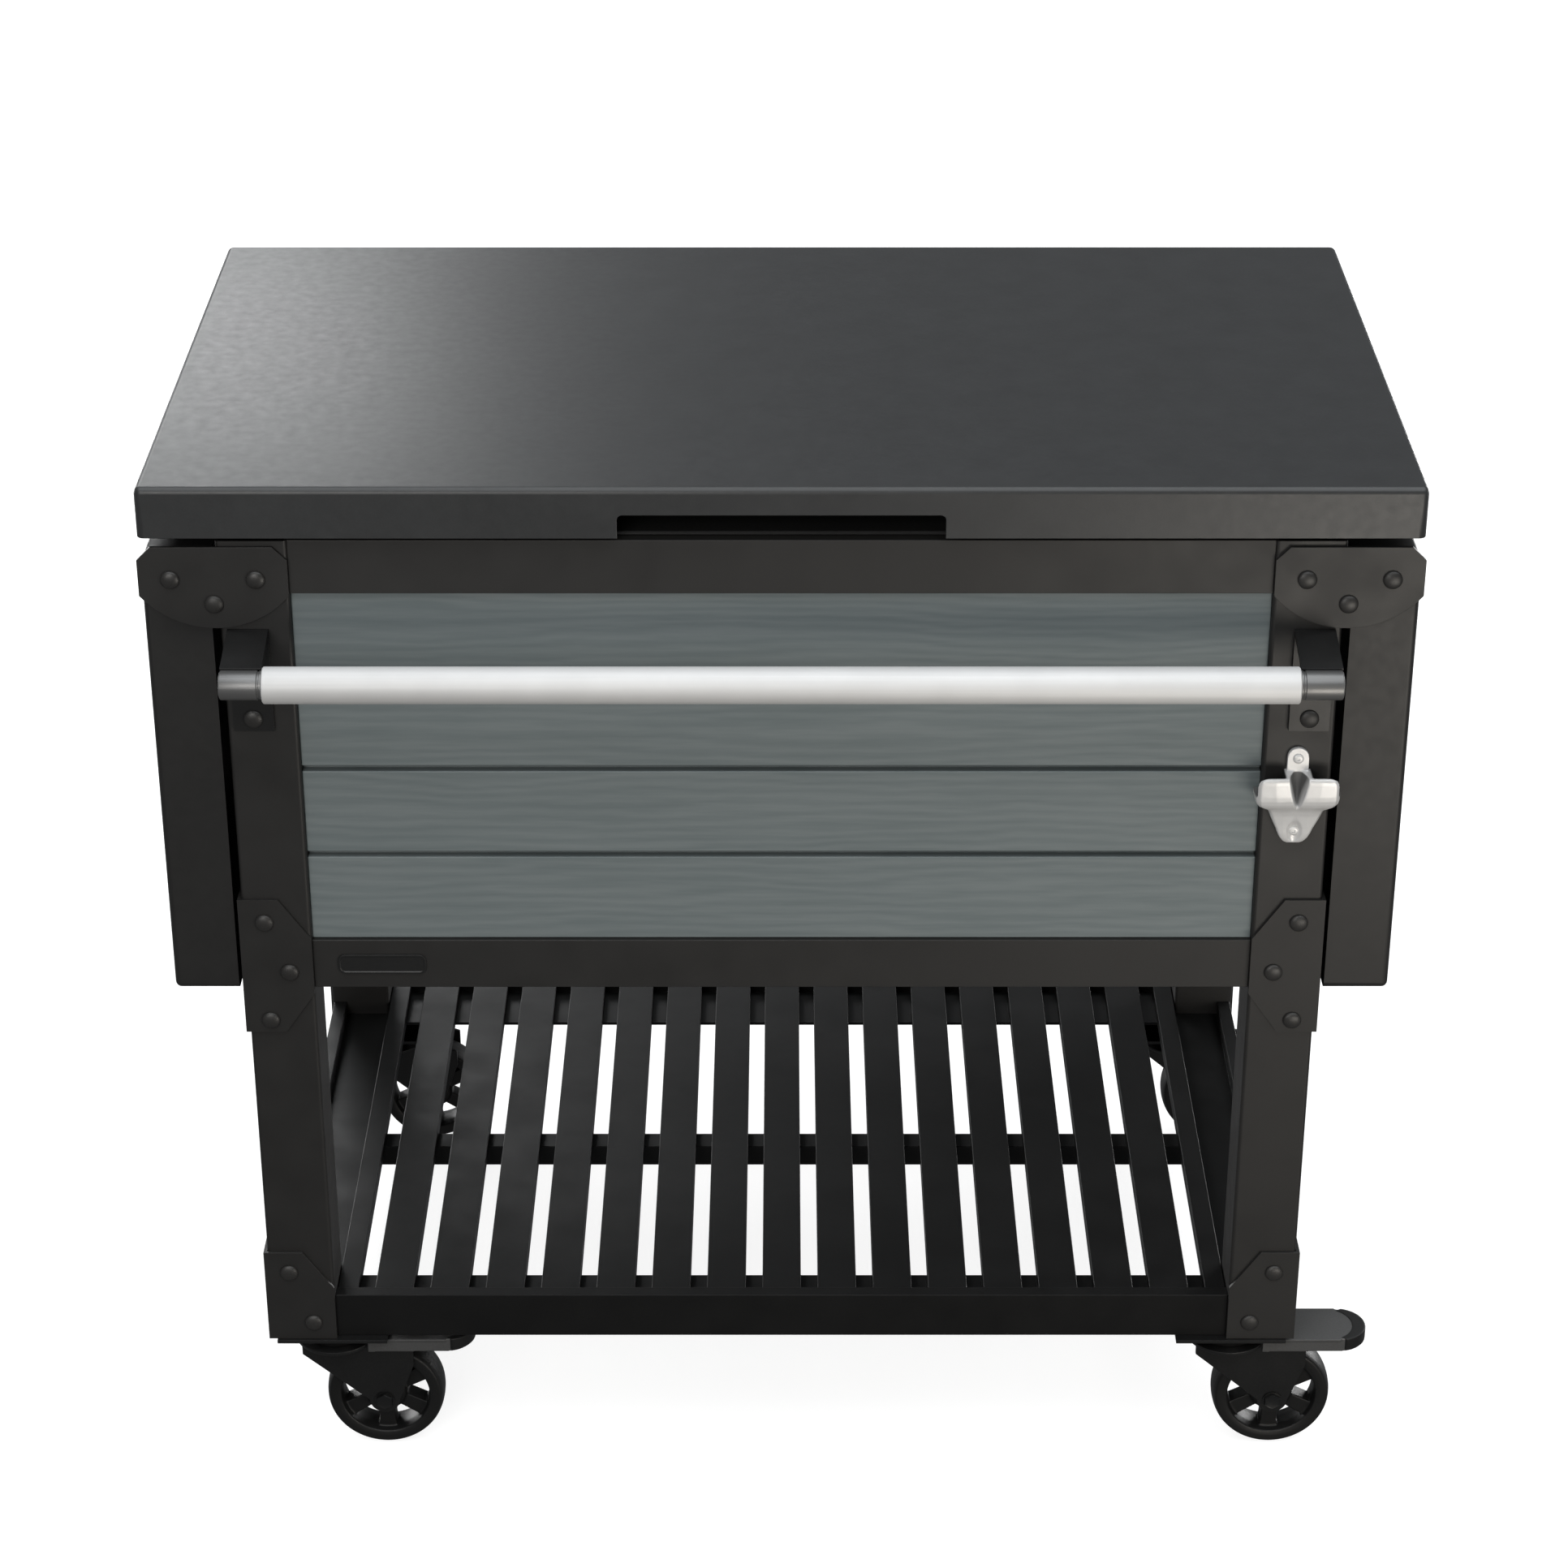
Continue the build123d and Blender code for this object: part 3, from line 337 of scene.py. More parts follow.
def spin(bm, profile, place, segments, loop=False):
    """Adds a turned solid on the Z axis of place. A profile row is a radius and a height, or, for a
    ring with flat sides, its inner radius, its height and the number of sides."""
    rings = []
    for radius, height, *sides in profile:
        ring = []
        for k in range(segments):
            angle = 2 * math.pi * k / segments
            reach = radius
            if sides:
                part = 2 * math.pi / sides[0]
                reach = radius / math.cos((angle + part / 2) % part - part / 2)
            ring.append(place @ Vector((reach * math.cos(angle), reach * math.sin(angle), height)))
        rings.append(ring)
    loft(bm, rings, loop)


def prism(bm, outline, place, thickness):
    """Adds a straight prism on the XY plane of place, thick along its Z axis."""
    loft(bm, [[place @ Vector((x, y, z)) for x, y in outline] for z in (0, thickness)])


def arc(cx, cy, radius, start, stop, steps):
    """Points on an arc, with its angles in degrees."""
    angles = [math.radians(start + (stop - start) * k / steps) for k in range(steps + 1)]
    return [(cx + radius * math.cos(a), cy + radius * math.sin(a)) for a in angles]


def rounded(half_x, half_y, radius, z, inset, steps=6):
    """A ring of points round a rectangle with round corners, drawn in all round by an inset."""
    points = []
    for start, side_x, side_y in ((0, 1, 1), (90, -1, 1), (180, -1, -1), (270, 1, -1)):
        centre_x = side_x * (half_x - radius)
        centre_y = side_y * (half_y - radius)
        points += arc(centre_x, centre_y, radius - inset, start, start + 90, steps)
    return [Vector((x, y, z)) for x, y in points]


def to_mesh(name, bm):
    """Turns a bmesh into a mesh with clean normals."""
    bmesh.ops.recalc_face_normals(bm, faces=bm.faces)
    mesh = bpy.data.meshes.new(name)
    bm.to_mesh(mesh)
    bm.free()
    return mesh


def worked(name, mesh, add_modifiers):
    """The mesh that modifiers make of another one."""
    rough = bpy.data.objects.new(name + "_rough", mesh)
    bpy.context.scene.collection.objects.link(rough)
    add_modifiers(rough)
    ready = rough.evaluated_get(bpy.context.evaluated_depsgraph_get())
    made = bpy.data.meshes.new_from_object(ready)
    bpy.data.objects.remove(rough)
    made.name = name
    return made


def new_cutter(name, bm):
    """An object that takes its shape out of others, and is removed once it has."""
    cutter = bpy.data.objects.new(name, to_mesh(name, bm))
    bpy.context.scene.collection.objects.link(cutter)
    return cutter


def take_out(rough, cutter):
    """Takes the shape of a cutter out of an object."""
    cut = rough.modifiers.new("cut", "BOOLEAN")
    cut.operation = "DIFFERENCE"
    cut.solver = "EXACT"
    cut.object = cutter


def melt(rough, voxel):
    """Turns overlapping shells into one skin."""
    remesh = rough.modifiers.new("melt", "REMESH")
    remesh.mode = "VOXEL"
    remesh.voxel_size = voxel


def melted(name, bm, voxel, rounds, hollow=None):
    """Melts overlapping shells into one smooth casting, less a hollow if there is one."""
    cutter = new_cutter(name + "_hollow", hollow) if hollow is not None else None

    def modifiers(rough):
        melt(rough, voxel)
        if cutter is not None:
            take_out(rough, cutter)
            melt(rough, voxel)
        smooth = rough.modifiers.new("smooth", "SMOOTH")
        smooth.factor = 0.5
        smooth.iterations = rounds

    mesh = worked(name, to_mesh(name + "_rough", bm), modifiers)
    if cutter is not None:
        bpy.data.objects.remove(cutter)
    mesh.shade_smooth()
    return mesh


def piece(name, mesh, body, slot, finishes, stands_for, place=None, edge=None):
    """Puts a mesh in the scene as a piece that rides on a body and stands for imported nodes, if for any. Edges
    over a given angle stay sharp."""
    if edge is not None:
        mesh.shade_smooth()
        mesh.set_sharp_from_angle(angle=math.radians(edge))
    made = bpy.data.objects.new(name, mesh)
    bpy.context.scene.collection.objects.link(made)
    if place is not None:
        made.matrix_world = place
    if not mesh.materials:
        mesh.materials.append(finishes[slot])
    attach(made, body)
    if stands_for:
        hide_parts(*stands_for)


def islands(node):
    """The lowest and highest corner of each separate solid in a node."""
    bm = bmesh.new()
    bm.from_mesh(nodes[node].data)
    bmesh.ops.remove_doubles(bm, verts=bm.verts, dist=1e-6)
    seen = set()
    boxes = []
    for first in bm.verts:
        if first in seen:
            continue
        seen.add(first)
        group = [first]
        for vert in group:
            for other in (edge.other_vert(vert) for edge in vert.link_edges):
                if other not in seen:
                    seen.add(other)
                    group.append(other)
        low = Vector([min(v.co[i] for v in group) for i in range(3)])
        high = Vector([max(v.co[i] for v in group) for i in range(3)])
        boxes.append((low, high))
    bm.free()
    return boxes


def soften(names, width):
    """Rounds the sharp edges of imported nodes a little, so that they catch the light."""
    for name in names:
        node = nodes[name]
        weld = node.modifiers.new("weld", "WELD")
        weld.merge_threshold = 1e-5
        flat = node.modifiers.new("flat", "DECIMATE")
        flat.decimate_type = "DISSOLVE"
        flat.angle_limit = math.radians(0.5)
        bevel = node.modifiers.new("round", "BEVEL")
        bevel.width = width
        bevel.segments = 2
        bevel.limit_method = "ANGLE"
        bevel.angle_limit = math.radians(40)
        bevel.harden_normals = True


# Detailed pieces

def along_y(point, towards):
    """A place whose Z axis points along Y, towards the front (-1) or the back (1)."""
    return Matrix.Translation(point) @ Matrix.Rotation(-towards * quarter_turn, 4, "X")


def facing_front(x, y, z):
    """A place whose X axis runs to the right, Y axis up and Z axis to the front."""
    return Matrix.Translation((x, y, z)) @ Matrix.Rotation(quarter_turn, 4, "X")


def bolt_group(node, shank, finishes, collar=None):
    """Dome-headed bolts in place of a node of plain bolts, each with a collar at its far end if asked."""
    head_radius, head_height = 7.5 * mm, 4 * mm
    head_edge, head_wall, dome = 0.4 * mm, 1 * mm, 3 * mm
    tail_edge, collar_length = 0.6 * mm, 5 * mm
    dome_rings, dome_step = 8, 10.5
    bm = bmesh.new()
    for low, high in islands(node):
        towards = -1 if low.y < 0 else 1
        tail = high.y if towards < 0 else low.y
        centre = Vector(((low.x + high.x) / 2, tail, (low.z + high.z) / 2))
        under = high.y - low.y - head_height
        rows = [(shank - tail_edge, 0), (shank, tail_edge)]
        if collar:
            rows = [(collar - tail_edge, 0), (collar, tail_edge)]
            rows += [(collar, collar_length), (shank, collar_length)]
        rows += [(shank, under), (head_radius - head_edge, under), (head_radius, under + head_edge)]
        rows += [(head_radius, under + head_wall)]
        for k in range(1, dome_rings + 1):
            turn = math.radians(dome_step * k)
            rows.append((head_radius * math.cos(turn), under + head_wall + dome * math.sin(turn)))
        spin(bm, rows, along_y(centre, towards), segments=32)
    name = node + "_domed"
    piece(name, to_mesh(name, bm), "cart", "bolt_finish", finishes, [node], edge=40)


def pan_screw(bm, point, towards, radius, height, shank, length):
    """Adds a pan-head screw with a square recess; point is under its head. The rows of the head are
    shares of its radius and height."""
    tip = 1 * mm
    rows = [(shank * 0.7, -length), (shank, -length + tip), (shank, 0), (radius, 0)]
    rows += [(radius, height * 0.35), (radius * 0.94, height * 0.62), (radius * 0.76, height * 0.88)]
    rows += [(radius * 0.5, height), (radius * 0.3, height, 4), (radius * 0.24, height * 0.45, 4)]
    spin(bm, rows, along_y(point, towards), segments=24)


# Cross-sections of the opener's body: drop below its top, half width, depth at the lobes, half width of
# the hollow in the middle and depth in that hollow, all in millimetres.
opener_sections = (
    (20.0, 26.0, 17.0, 7.5, 3.4), (20.8, 29.4, 18.8, 7.4, 3.4), (22.5, 32.2, 19.7, 7.2, 3.5),
    (25.0, 33.5, 20.0, 6.8, 3.6), (28.0, 34.0, 20.0, 6.2, 3.9), (32.0, 34.0, 20.0, 5.4, 4.5),
    (36.0, 34.0, 20.0, 4.5, 5.6), (40.0, 33.8, 19.7, 3.4, 7.8), (43.5, 33.0, 18.8, 2.4, 11.0),
    (46.5, 31.0, 17.2, 1.6, 14.2), (48.8, 27.4, 15.2, 1.2, 14.4), (50.6, 23.8, 13.6, 1.2, 13.2),
    (53.0, 22.0, 12.2, 1.2, 12.0), (57.0, 20.6, 10.8, 1.4, 10.6), (62.0, 18.6, 9.8, 2.6, 9.0),
    (66.5, 16.6, 9.0, 4.6, 6.0), (70.0, 15.0, 8.4, 5.6, 4.0), (74.5, 13.4, 7.8, 5.6, 3.8),
    (79.0, 11.2, 6.8, 4.6, 3.9), (82.2, 8.6, 5.6, 2.4, 4.2), (84.0, 5.6, 4.4, 1.2, 4.2),
)


def bottle_opener(finishes):
    """The cast opener: a screw tab, two lobes with open hollows behind their lips, a V-shaped mouth
    between them, and a tapering chin."""
    tab_radius, tab_reach, plate = 8.5 * mm, 30 * mm, 4 * mm
    hollow_far, hollow_top, hollow_back = 40 * mm, 10 * mm, -1 * mm
    hollow_floor = mouth_drop + hollow_length
    low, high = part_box("bottle_opener")
    place = facing_front((low.x + high.x) / 2, high.y, high.z)
    bm = bmesh.new()
    rings = []
    for drop, wide, deep, gap, hollow in opener_sections:
        # Half a ring, from the back round the lobe to the middle
        rise = deep - hollow
        lobe = max(wide * 0.88, gap + 0.8)
        half = [(wide, 0), (wide, deep * 0.5), (wide * 0.975, deep * 0.8), (lobe, deep * 0.965)]
        half += [((lobe + gap) / 2, deep), (gap + 0.4, deep * 0.97), (gap * 0.8, hollow + rise * 0.5)]
        half += [(gap * 0.45, hollow + rise * 0.1), (0, hollow)]
        ring = half + [(-x, z) for x, z in reversed(half[:-1])]
        rings.append([place @ Vector((x * mm, -drop * mm, z * mm)) for x, z in ring])
    loft(bm, rings)
    tab = arc(0, -tab_radius, tab_radius, 0, 180, 16) + [(-tab_radius, -tab_reach), (tab_radius, -tab_reach)]
    prism(bm, tab, place, plate)
    pocket = bmesh.new()
    for left, right in ((-hollow_far, -lip_near), (lip_near, hollow_far)):
        hole = [(left, -hollow_floor), (right, -hollow_floor), (right, -hollow_top), (left, -hollow_top)]
        prism(pocket, hole, place @ Matrix.Translation((0, 0, hollow_back)), lip_back - hollow_back)
    mesh = melted("bottle_opener_casting", bm, voxel=0.5 * mm, rounds=4, hollow=pocket)
    piece("bottle_opener_casting", mesh, "cart", "opener_metal", finishes, ["bottle_opener"])
    head_height, shank = 2 * mm, 2.2 * mm
    bm = bmesh.new()
    for low, high in islands("opener_screws"):
        point = Vector(((low.x + high.x) / 2, low.y + head_height, (low.z + high.z) / 2))
        pan_screw(bm, point, -1, (high.x - low.x) / 2, head_height, shank, high.y - point.y)
    piece("opener_pan_screws", to_mesh("opener_pan_screws", bm), "cart", "opener_metal", finishes,
          ["opener_screws"], edge=38)


def wheel_mesh(radius, half_width, hub_half):
    """A moulded wheel on the Y axis: a crowned tread with lips, six tapered spokes and a hub."""
    rim, lip = radius - 12.5 * mm, 4 * mm
    ridge, ridge_half = rim - 1.4 * mm, 6 * mm
    crown, crown_half, crown_sine = 3.4 * mm, half_width - 1.2 * mm, 0.966
    spokes, spoke_half, spoke_foot, foot_half, end_half = 6, 8 * mm, 12 * mm, 6 * mm, 7.6 * mm
    turn = Matrix.Rotation(quarter_turn, 4, "X")
    bm = bmesh.new()
    tread = [(rim, -half_width + 1 * mm), (rim + lip, -half_width), (radius - crown, -half_width)]
    for k in range(7):
        lean = math.radians(-75 + 25 * k)
        sink = crown * (1 - math.cos(lean))
        tread.append((radius - sink * 0.9, crown_half * math.sin(lean) / crown_sine))
    tread += [(radius - crown, half_width), (rim + lip, half_width), (rim, half_width - 1 * mm)]
    tread += [(ridge, ridge_half), (ridge, -ridge_half)]
    spin(bm, tread, turn, segments=96, loop=True)
    hub = [(5.2 * mm, -hub_half), (9.5 * mm, -hub_half), (10.5 * mm, -hub_half + 1 * mm)]
    hub += [(17 * mm, -11 * mm), (18.5 * mm, -8 * mm)]
    hub += [(r, -h) for r, h in reversed(hub)]
    spin(bm, hub, turn, segments=48, loop=True)
    outline = [(-foot_half, -spoke_foot), (foot_half, -spoke_foot)]
    outline += [(end_half, -rim - 1 * mm), (-end_half, -rim - 1 * mm)]
    for k in range(spokes):
        spoke = Matrix.Rotation(math.radians(360 / spokes * k), 4, "Y")
        prism(bm, outline, spoke @ facing_front(0, spoke_half, 0), 2 * spoke_half)
    return melted("caster_wheel", bm, voxel=0.8 * mm, rounds=4)


def axle_mesh(half):
    """An axle bolt on the Y axis: a hexagon head and a nut, each on a washer, and the thread's end."""
    shank, washer, hexagon, hexagon_edge = 5 * mm, 8.4 * mm, 6.6 * mm, 6.3 * mm
    thread, thread_end = 4.2 * mm, 3 * mm
    cheek = half - 4.5 * mm
    nut_face = 1.2 * mm - half
    nut = [(thread_end, -half), (thread, -half + 0.8 * mm), (thread, nut_face), (hexagon_edge, nut_face, 6)]
    nut += [(hexagon, 1.7 * mm - half, 6), (hexagon, -cheek - 1 * mm, 6), (washer, -cheek - 1 * mm)]
    nut += [(washer, -cheek), (shank, -cheek)]
    head = [(shank, cheek), (washer, cheek), (washer, cheek + 1.2 * mm), (hexagon, cheek + 1.2 * mm, 6)]
    head += [(hexagon, half - 1.1 * mm, 6), (hexagon_edge, half - 0.5 * mm, 6), (shank, half - 0.9 * mm)]
    bm = bmesh.new()
    spin(bm, nut + head, along_y(Vector((0, 0, 0)), -1), segments=48)
    return to_mesh("caster_axle", bm)


def caster_wheels(finishes):
    """The four wheels, which share one mesh, and their axle bolts, which share another."""
    tread_half = 15 * mm
    low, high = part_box("front_left_wheel")
    mesh = wheel_mesh((high.z - low.z) / 2, tread_half, (high.y - low.y) / 2)
    for corner in corners:
        node = corner + "_wheel"
        low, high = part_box(node)
        piece(node + "_moulded", mesh, node, "wheel_plastic", finishes, [node],
              Matrix.Translation((low + high) / 2))
    low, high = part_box("front_left_axle")
    mesh = axle_mesh((high.y - low.y) / 2)
    for corner in corners:
        node = corner + "_axle"
        low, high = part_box(node)
        piece(node + "_bolt", mesh, corner + "_swivel", "axle_steel", finishes, [node],
              Matrix.Translation((low + high) / 2), edge=30)


def pedals(finishes):
    """Brake pedals: a pressed channel with a cross pin and a shoe, and a black pad on its round end; the pad's
    black crescent is painted shade at the pedal's rolled end.
    """
    low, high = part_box("front_left_brake_pedal")
    length, half, tall = high.x - low.x, (high.y - low.y) / 2, high.z - low.z
    turn, pad_start, pad_skin = length - half, length - 24 * mm, 1.2 * mm
    rim, inner = half - pad_skin, half - 2 * mm
    sheet, sheet_drop, wall_drop = 2.2 * mm, 0.4 * mm, 1 * mm
    pin_radius, pin_x, pin_z, pin_short = 2.5 * mm, 12 * mm, 3.5 * mm, 0.2 * mm
    shoe_near, shoe_far, shoe_half, shoe_lift, shoe_drop = 24 * mm, 34 * mm, 10 * mm, 0.4 * mm, 2 * mm
    bm = bmesh.new()
    top = [(0, -half), (pad_start, -half), (pad_start, -rim)] + arc(turn, 0, rim, -80, 80, 24)
    top += [(pad_start, rim), (pad_start, half), (0, half)]
    prism(bm, top, Matrix.Translation((0, 0, tall - sheet)), sheet - sheet_drop)
    wall = [(0, -half)] + arc(turn, 0, rim, -90, 90, 24) + [(0, half)]
    wall += [(0, inner)] + arc(turn, 0, inner - pad_skin, 90, -90, 24) + [(0, -inner)]
    prism(bm, wall, Matrix.Identity(4), tall - wall_drop)
    pin = [(pin_radius, pin_short), (pin_radius, 2 * half - pin_short)]
    spin(bm, pin, facing_front(pin_x, half, pin_z), segments=24)
    shoe = [(shoe_near, -shoe_half), (shoe_far, -shoe_half), (shoe_far, shoe_half), (shoe_near, shoe_half)]
    prism(bm, shoe, Matrix.Translation((0, 0, shoe_lift)), tall - shoe_drop)
    mesh = melted("pedal_pressing", bm, voxel=0.6 * mm, rounds=3)
    # The black crescent on the round end: painted shade at the pedal's rolled end, made as a black pad
    pad = bmesh.new()
    cover = arc(turn, 0, half, -78, 78, 28) + arc(turn - 11 * mm, 0, half - 1 * mm, 62, -62, 20)
    prism(pad, cover, Matrix.Translation((0, 0, pad_skin)), tall - pad_skin)
    rubber = melted("pedal_pad", pad, voxel=0.6 * mm, rounds=6)
    for corner in corners[:2]:
        node = corner + "_brake_pedal"
        low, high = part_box(node)
        place = Matrix.Translation((low.x, (low.y + high.y) / 2, low.z))
        body = corner + "_pedal"
        piece(node + "_pressing", mesh, body, "pedal_steel", finishes, [node], place)
        # The black pad stands in as painted shade for the shadow at the rolled end
        piece(node + "_pad", rubber, body, "wheel_plastic", finishes, (), place)


def ferrules(finishes):
    """Turned end ferrules of the push bar, each with a groove and eased ends."""
    spigot_radius, spigot_length, groove = 8 * mm, 20 * mm, 0.8 * mm
    bm = bmesh.new()
    for low, high in islands("bar_ferrules"):
        side = -1 if low.x < 0 else 1
        radius = (high.z - low.z) / 2
        outer = high.x if side > 0 else low.x
        length = high.x - low.x
        place = Matrix.Translation((outer, (low.y + high.y) / 2, (low.z + high.z) / 2))
        place = place @ Matrix.Rotation(-side * quarter_turn, 4, "Y")
        face = length - spigot_length
        sunk = radius - groove
        rows = [(radius - 1.5 * mm, 0), (radius - 0.4 * mm, 0.5 * mm), (radius, 1.5 * mm)]
        rows += [(radius, face - 4 * mm), (sunk, face - 3.4 * mm), (sunk, face - 2.4 * mm)]
        rows += [(radius, face - 1.8 * mm), (radius, face - 0.5 * mm), (radius - 0.5 * mm, face)]
        rows += [(spigot_radius, face), (spigot_radius, length)]
        spin(bm, rows, place, segments=48)
    piece("bar_ferrules_turned", to_mesh("bar_ferrules_turned", bm), "cart", "ferrule_metal", finishes,
          ["bar_ferrules"], edge=30)


def tub(finishes):
    """The moulded tub: a flange with eased edges, slightly drawn-in walls, a round foot and a drain hole."""
    low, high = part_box("tub_liner")
    drain_low, drain_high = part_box("drain_spout")
    wall, outer_corner, inner_corner = 3 * mm, 25 * mm, 22 * mm
    in_x, in_y = 342 * mm, 219 * mm
    floor_z, rim = low.z + wall, high.z
    lip, draft, foot, drain_radius = 4 * mm, 1.5 * mm, 16 * mm, 12.6 * mm
    rings = []
    for inset, z in ((7 * mm, low.z), (0, low.z + 7 * mm), (0, rim - wall)):
        rings.append(rounded(in_x + wall, in_y + wall, outer_corner, z, inset))
    for inset, drop in ((0.6 * mm, wall), (0, 2.4 * mm), (0, 0.8 * mm), (0.8 * mm, 0)):
        rings.append(rounded(high.x, high.y, outer_corner, rim - drop, inset))
    for k in range(5):
        lean = math.radians(22.5 * k)
        drop = lip * (1 - math.cos(lean))
        rings.append(rounded(in_x, in_y, inner_corner, rim - drop, -lip * (1 - math.sin(lean))))
    for k in range(7):
        lean = math.radians(15 * k)
        inset = draft + foot * (1 - math.cos(lean))
        rings.append(rounded(in_x, in_y, inner_corner, floor_z + foot * (1 - math.sin(lean)), inset))
    rings.append(rounded(in_x, in_y, inner_corner, floor_z, inset + 2 * mm))
    bm = bmesh.new()
    loft(bm, rings)
    drill = bmesh.new()
    centre = (drain_low + drain_high) / 2
    hole = [(drain_radius, low.z - 5 * mm), (drain_radius, floor_z + 5 * mm)]
    spin(drill, hole, Matrix.Translation((centre.x, centre.y, 0)), segments=48)
    cutter = new_cutter("drill", drill)
    mesh = worked("tub_moulding", to_mesh("tub_rough", bm), lambda rough: take_out(rough, cutter))
    bpy.data.objects.remove(cutter)
    piece("tub_moulding", mesh, "cart", "tub_plastic", finishes, ["tub_liner"], edge=40)


def lid_underside(finishes):
    """The lid's moulded pan with a sunk field, and the bulb gasket below its border."""
    low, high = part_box("lid_pan")
    base, top = low.z, high.z - 0.1 * mm
    field_x, field_y, field_corner = 322 * mm, 199 * mm, 22 * mm
    pan_corner, ease, skin = 14 * mm, 5 * mm, 3 * mm
    rings = []
    for outset, depth in ((-3, 2.4), (0, 2.4), (1.5, 2.2), (5, 0.3), (6.5, 0)):
        rings.append(rounded(field_x, field_y, field_corner, base + depth * mm, -outset * mm))
    for k in range(5):
        lean = math.radians(22.5 * k)
        rise = ease * (1 - math.cos(lean))
        rings.append(rounded(high.x, high.y, pan_corner, base + rise, ease * (1 - math.sin(lean))))
    for inset, z in ((0, top), (skin, top), (skin, base + 8 * mm)):
        rings.append(rounded(high.x, high.y, pan_corner, z, inset))
    bm = bmesh.new()
    loft(bm, rings)
    piece("lid_pan_moulding", to_mesh("lid_pan_moulding", bm), "lid", "tub_plastic", finishes, ["lid_pan"],
          edge=40)
    low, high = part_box("lid_gasket")
    half, gasket_corner = 5 * mm, 30 * mm
    # Half of the bulb, as shares of its half width and height
    bulb = [(1, 1.0), (1, 0.82), (0.7, 0.76), (0.86, 0.5), (0.7, 0.18), (0.35, 0.02)]
    bulb += [(0, 0)] + [(-inset, height) for inset, height in reversed(bulb)]
    rings = []
    for inset, height in bulb:
        z = low.z + (high.z - low.z) * height
        rings.append(rounded(high.x - half, high.y - half, gasket_corner, z, inset * half, steps=10))
    bm = bmesh.new()
    loft(bm, rings, loop=True)
    piece("lid_gasket_bulb", to_mesh("lid_gasket_bulb", bm), "lid", "gasket_rubber", finishes,
          ["lid_gasket"], edge=35)


def badge(finishes):
    """The bare badge plate: an eased raised rim round a sunk field."""
    low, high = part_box("badge_plate")
    half_x, half_z = (high.x - low.x) / 2, (high.z - low.z) / 2
    deep, corner = high.y - low.y, 6 * mm
    place = facing_front((low.x + high.x) / 2, high.y, (low.z + high.z) / 2)
    rings = []
    for inset, height in ((0, 0), (0, 0.7), (0.2, 0.92), (0.6, 1), (1.6, 1), (2.1, 0.9), (2.5, 0.6)):
        ring = rounded(half_x, half_z, corner, deep * height, inset * mm)
        rings.append([place @ point for point in ring])
    bm = bmesh.new()
    loft(bm, rings)
    piece("badge_plate_rimmed", to_mesh("badge_plate_rimmed", bm), "cart", "badge_plastic", finishes,
          ["badge_plate"], edge=40)


def hinge_screws(finishes):
    """Pan-head screws in the leaves of the lid's hinges."""
    leaf, end_gap, pitch = 2 * mm, 12 * mm, 20 * mm
    for node, body in (("hinge_frame_leaves", "cart"), ("hinge_lid_leaves", "lid")):
        bm = bmesh.new()
        for low, high in islands(node):
            middle = (low.x + high.x) / 2
            z = low.z + end_gap if body == "cart" else high.z - end_gap
            for x in (-pitch, 0, pitch):
                point = Vector((middle + x, low.y + leaf, z))
                pan_screw(bm, point, 1, radius=3.6 * mm, height=1.8 * mm, shank=1.8 * mm, length=3 * mm)
        name = node + "_screws"
        piece(name, to_mesh(name, bm), body, "hinge_steel", finishes, (), edge=38)


# Stage

def camera():
    """The photograph's viewpoint: a long lens, above the front, tilted down."""
    data = bpy.data.cameras.new("camera")
    data.lens = 86.9
    data.sensor_width = 36
    made = bpy.data.objects.new("camera", data)
    made.location = (0.002, -2.952, 2.022)
    made.rotation_euler = (math.radians(62.93), 0, 0)
    bpy.context.scene.collection.objects.link(made)
    bpy.context.scene.camera = made


def area_light(name, location, target, width, height, power, colour):
    """A soft box aimed at a point."""
    data = bpy.data.lights.new(name, "AREA")
    data.shape = "RECTANGLE"
    data.size = width
    data.size_y = height
    data.energy = power
    data.color = colour
    made = bpy.data.objects.new(name, data)
    made.location = location
    aim = Vector(target) - Vector(location)
    made.rotation_euler = aim.to_track_quat("-Z", "Y").to_euler()
    bpy.context.scene.collection.objects.link(made)


def lights():
    """A bright tent overhead, a panel behind on the left, and soft boxes in front and at the back corners."""
    world = bpy.data.worlds.new("studio")
    world.use_nodes = True
    sky = world.node_tree.nodes["Background"]
    sky.inputs["Color"].default_value = (0.96, 0.98, 1, 1)
    sky.inputs["Strength"].default_value = 0.19
    bpy.context.scene.world = world
    tent = bpy.data.lights.new("tent", "SUN")
    tent.energy = 3.5
    tent.angle = math.radians(80)
    tent.color = (0.95, 0.98, 1.0)
    overhead = bpy.data.objects.new("tent", tent)
    overhead.rotation_euler = (math.radians(6), math.radians(6), 0)
    bpy.context.scene.collection.objects.link(overhead)
    white = (1, 1, 1)
    # Name, where it stands, what it faces, width, height, power and colour
    boxes = (
        ("sheen", (-1.3, 2.95, 2.0), (-1.3, 2.951, 0), 1.3, 1.7, 61, (0.985, 0.995, 1.0)),
        ("glow", (0.95, -1.6, 0.25), (0.35, -0.28, 0.75), 1.0, 0.5, 11.5, (1.0, 0.94, 0.85)),
        ("fill", (-0.8, -2.4, 1.5), (0, -0.28, 0.7), 1.2, 1.2, 25, (1.0, 0.975, 0.94)),
        ("back_right", (2.3, 1.9, 0.5), (0.2, 0.15, 0.5), 1.6, 0.7, 55, white),
        ("back_left", (-2.3, 1.9, 0.5), (-0.2, 0.15, 0.5), 1.6, 0.7, 55, white),
    )
    for box in boxes:
        area_light(*box)
    bpy.context.scene.view_settings.view_transform = "Standard"


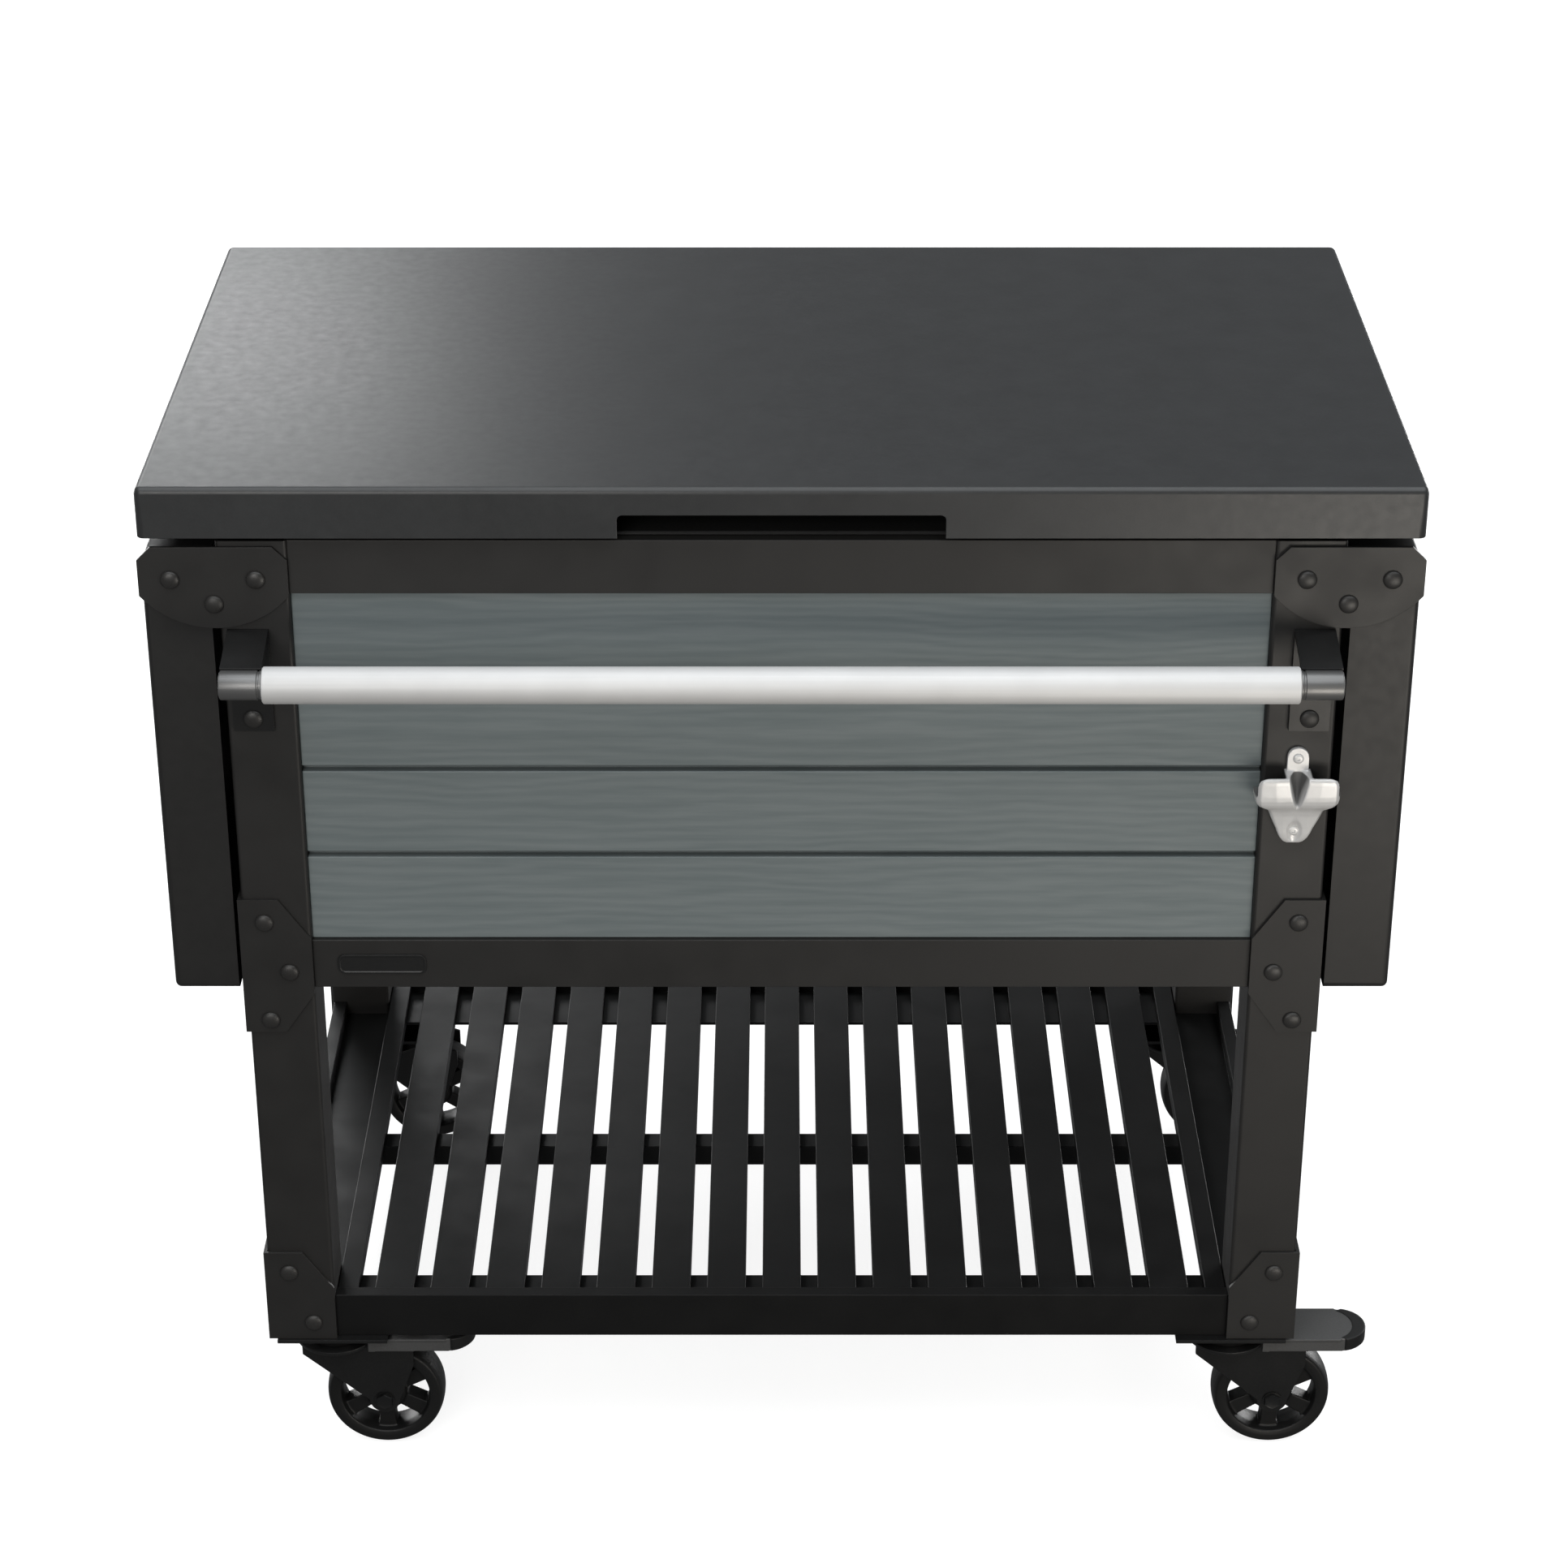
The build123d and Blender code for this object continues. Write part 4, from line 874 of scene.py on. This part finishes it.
def floor():
    """A plain pale floor that sweeps up into a backdrop far away and stays bright under the cart."""
    flat, bend, top, sides = 10, 5, 15, 64
    rows = [(flat, 0)]
    rows += [(flat + bend * math.sin(a), bend - bend * math.cos(a)) for a in (0.3, 0.6, 0.9, 1.2, 1.5)]
    rows += [(flat + bend, top)]
    turns = [2 * math.pi * k / sides for k in range(sides)]
    bm = bmesh.new()
    rings = []
    for radius, height in rows:
        rings.append([bm.verts.new((radius * math.cos(a), radius * math.sin(a), height)) for a in turns])
    bm.faces.new(rings[0])
    for low, high in zip(rings, rings[1:]):
        for k in range(sides):
            n = (k + 1) % sides
            bm.faces.new((low[k], high[k], high[n], low[n]))
    mesh = bpy.data.meshes.new("floor")
    bm.to_mesh(mesh)
    bm.free()
    mesh.shade_smooth()
    material, tree, shader, place = new_material("pale_floor")
    tint = mix(tree, noise(tree, place, scale=2, detail=2), grey(0.26), grey(0.30))
    tree.links.new(tint, shader.inputs["Base Color"])
    shader.inputs["Roughness"].default_value = 0.9
    shader.inputs["Specular IOR Level"].default_value = 0.1
    shader.inputs["Emission Color"].default_value = (1, 1, 1, 1)
    shader.inputs["Emission Strength"].default_value = 0.84
    mesh.materials.append(material)
    made = bpy.data.objects.new("floor", mesh)
    bpy.context.scene.collection.objects.link(made)
    made.visible_diffuse = False
    made.visible_glossy = False


finishes = all_materials()
dress_nodes(finishes)
bolt_group("gusset_bolts", 3 * mm, finishes)
bolt_group("leaf_bracket_bolts", 2.7 * mm, finishes)
bolt_group("leaf_pivot_bolts", 4 * mm, finishes, collar=7 * mm)
bolt_group("bar_bracket_screws", 3 * mm, finishes)
bottle_opener(finishes)
caster_wheels(finishes)
pedals(finishes)
ferrules(finishes)
tub(finishes)
lid_underside(finishes)
badge(finishes)
hinge_screws(finishes)
sheet_parts = ("_rail", "_rails", "_panels", "_panel", "slats", "cross_bar", "gussets", "leaf_brackets",
               "_leaf", "_shell")
soften([n for n in nodes if n.endswith(sheet_parts)], 0.6 * mm)
soften(["front_planks", "rear_planks", "bar_brackets", "caster_plates", "drain_cap", "drain_spout"], 1.0 * mm)
soften([corner + "_fork" for corner in corners], 0.9 * mm)
soften(["push_bar", "hinge_frame_leaves", "hinge_lid_leaves", "hinge_pins"], 0.4 * mm)
camera()
lights()
floor()
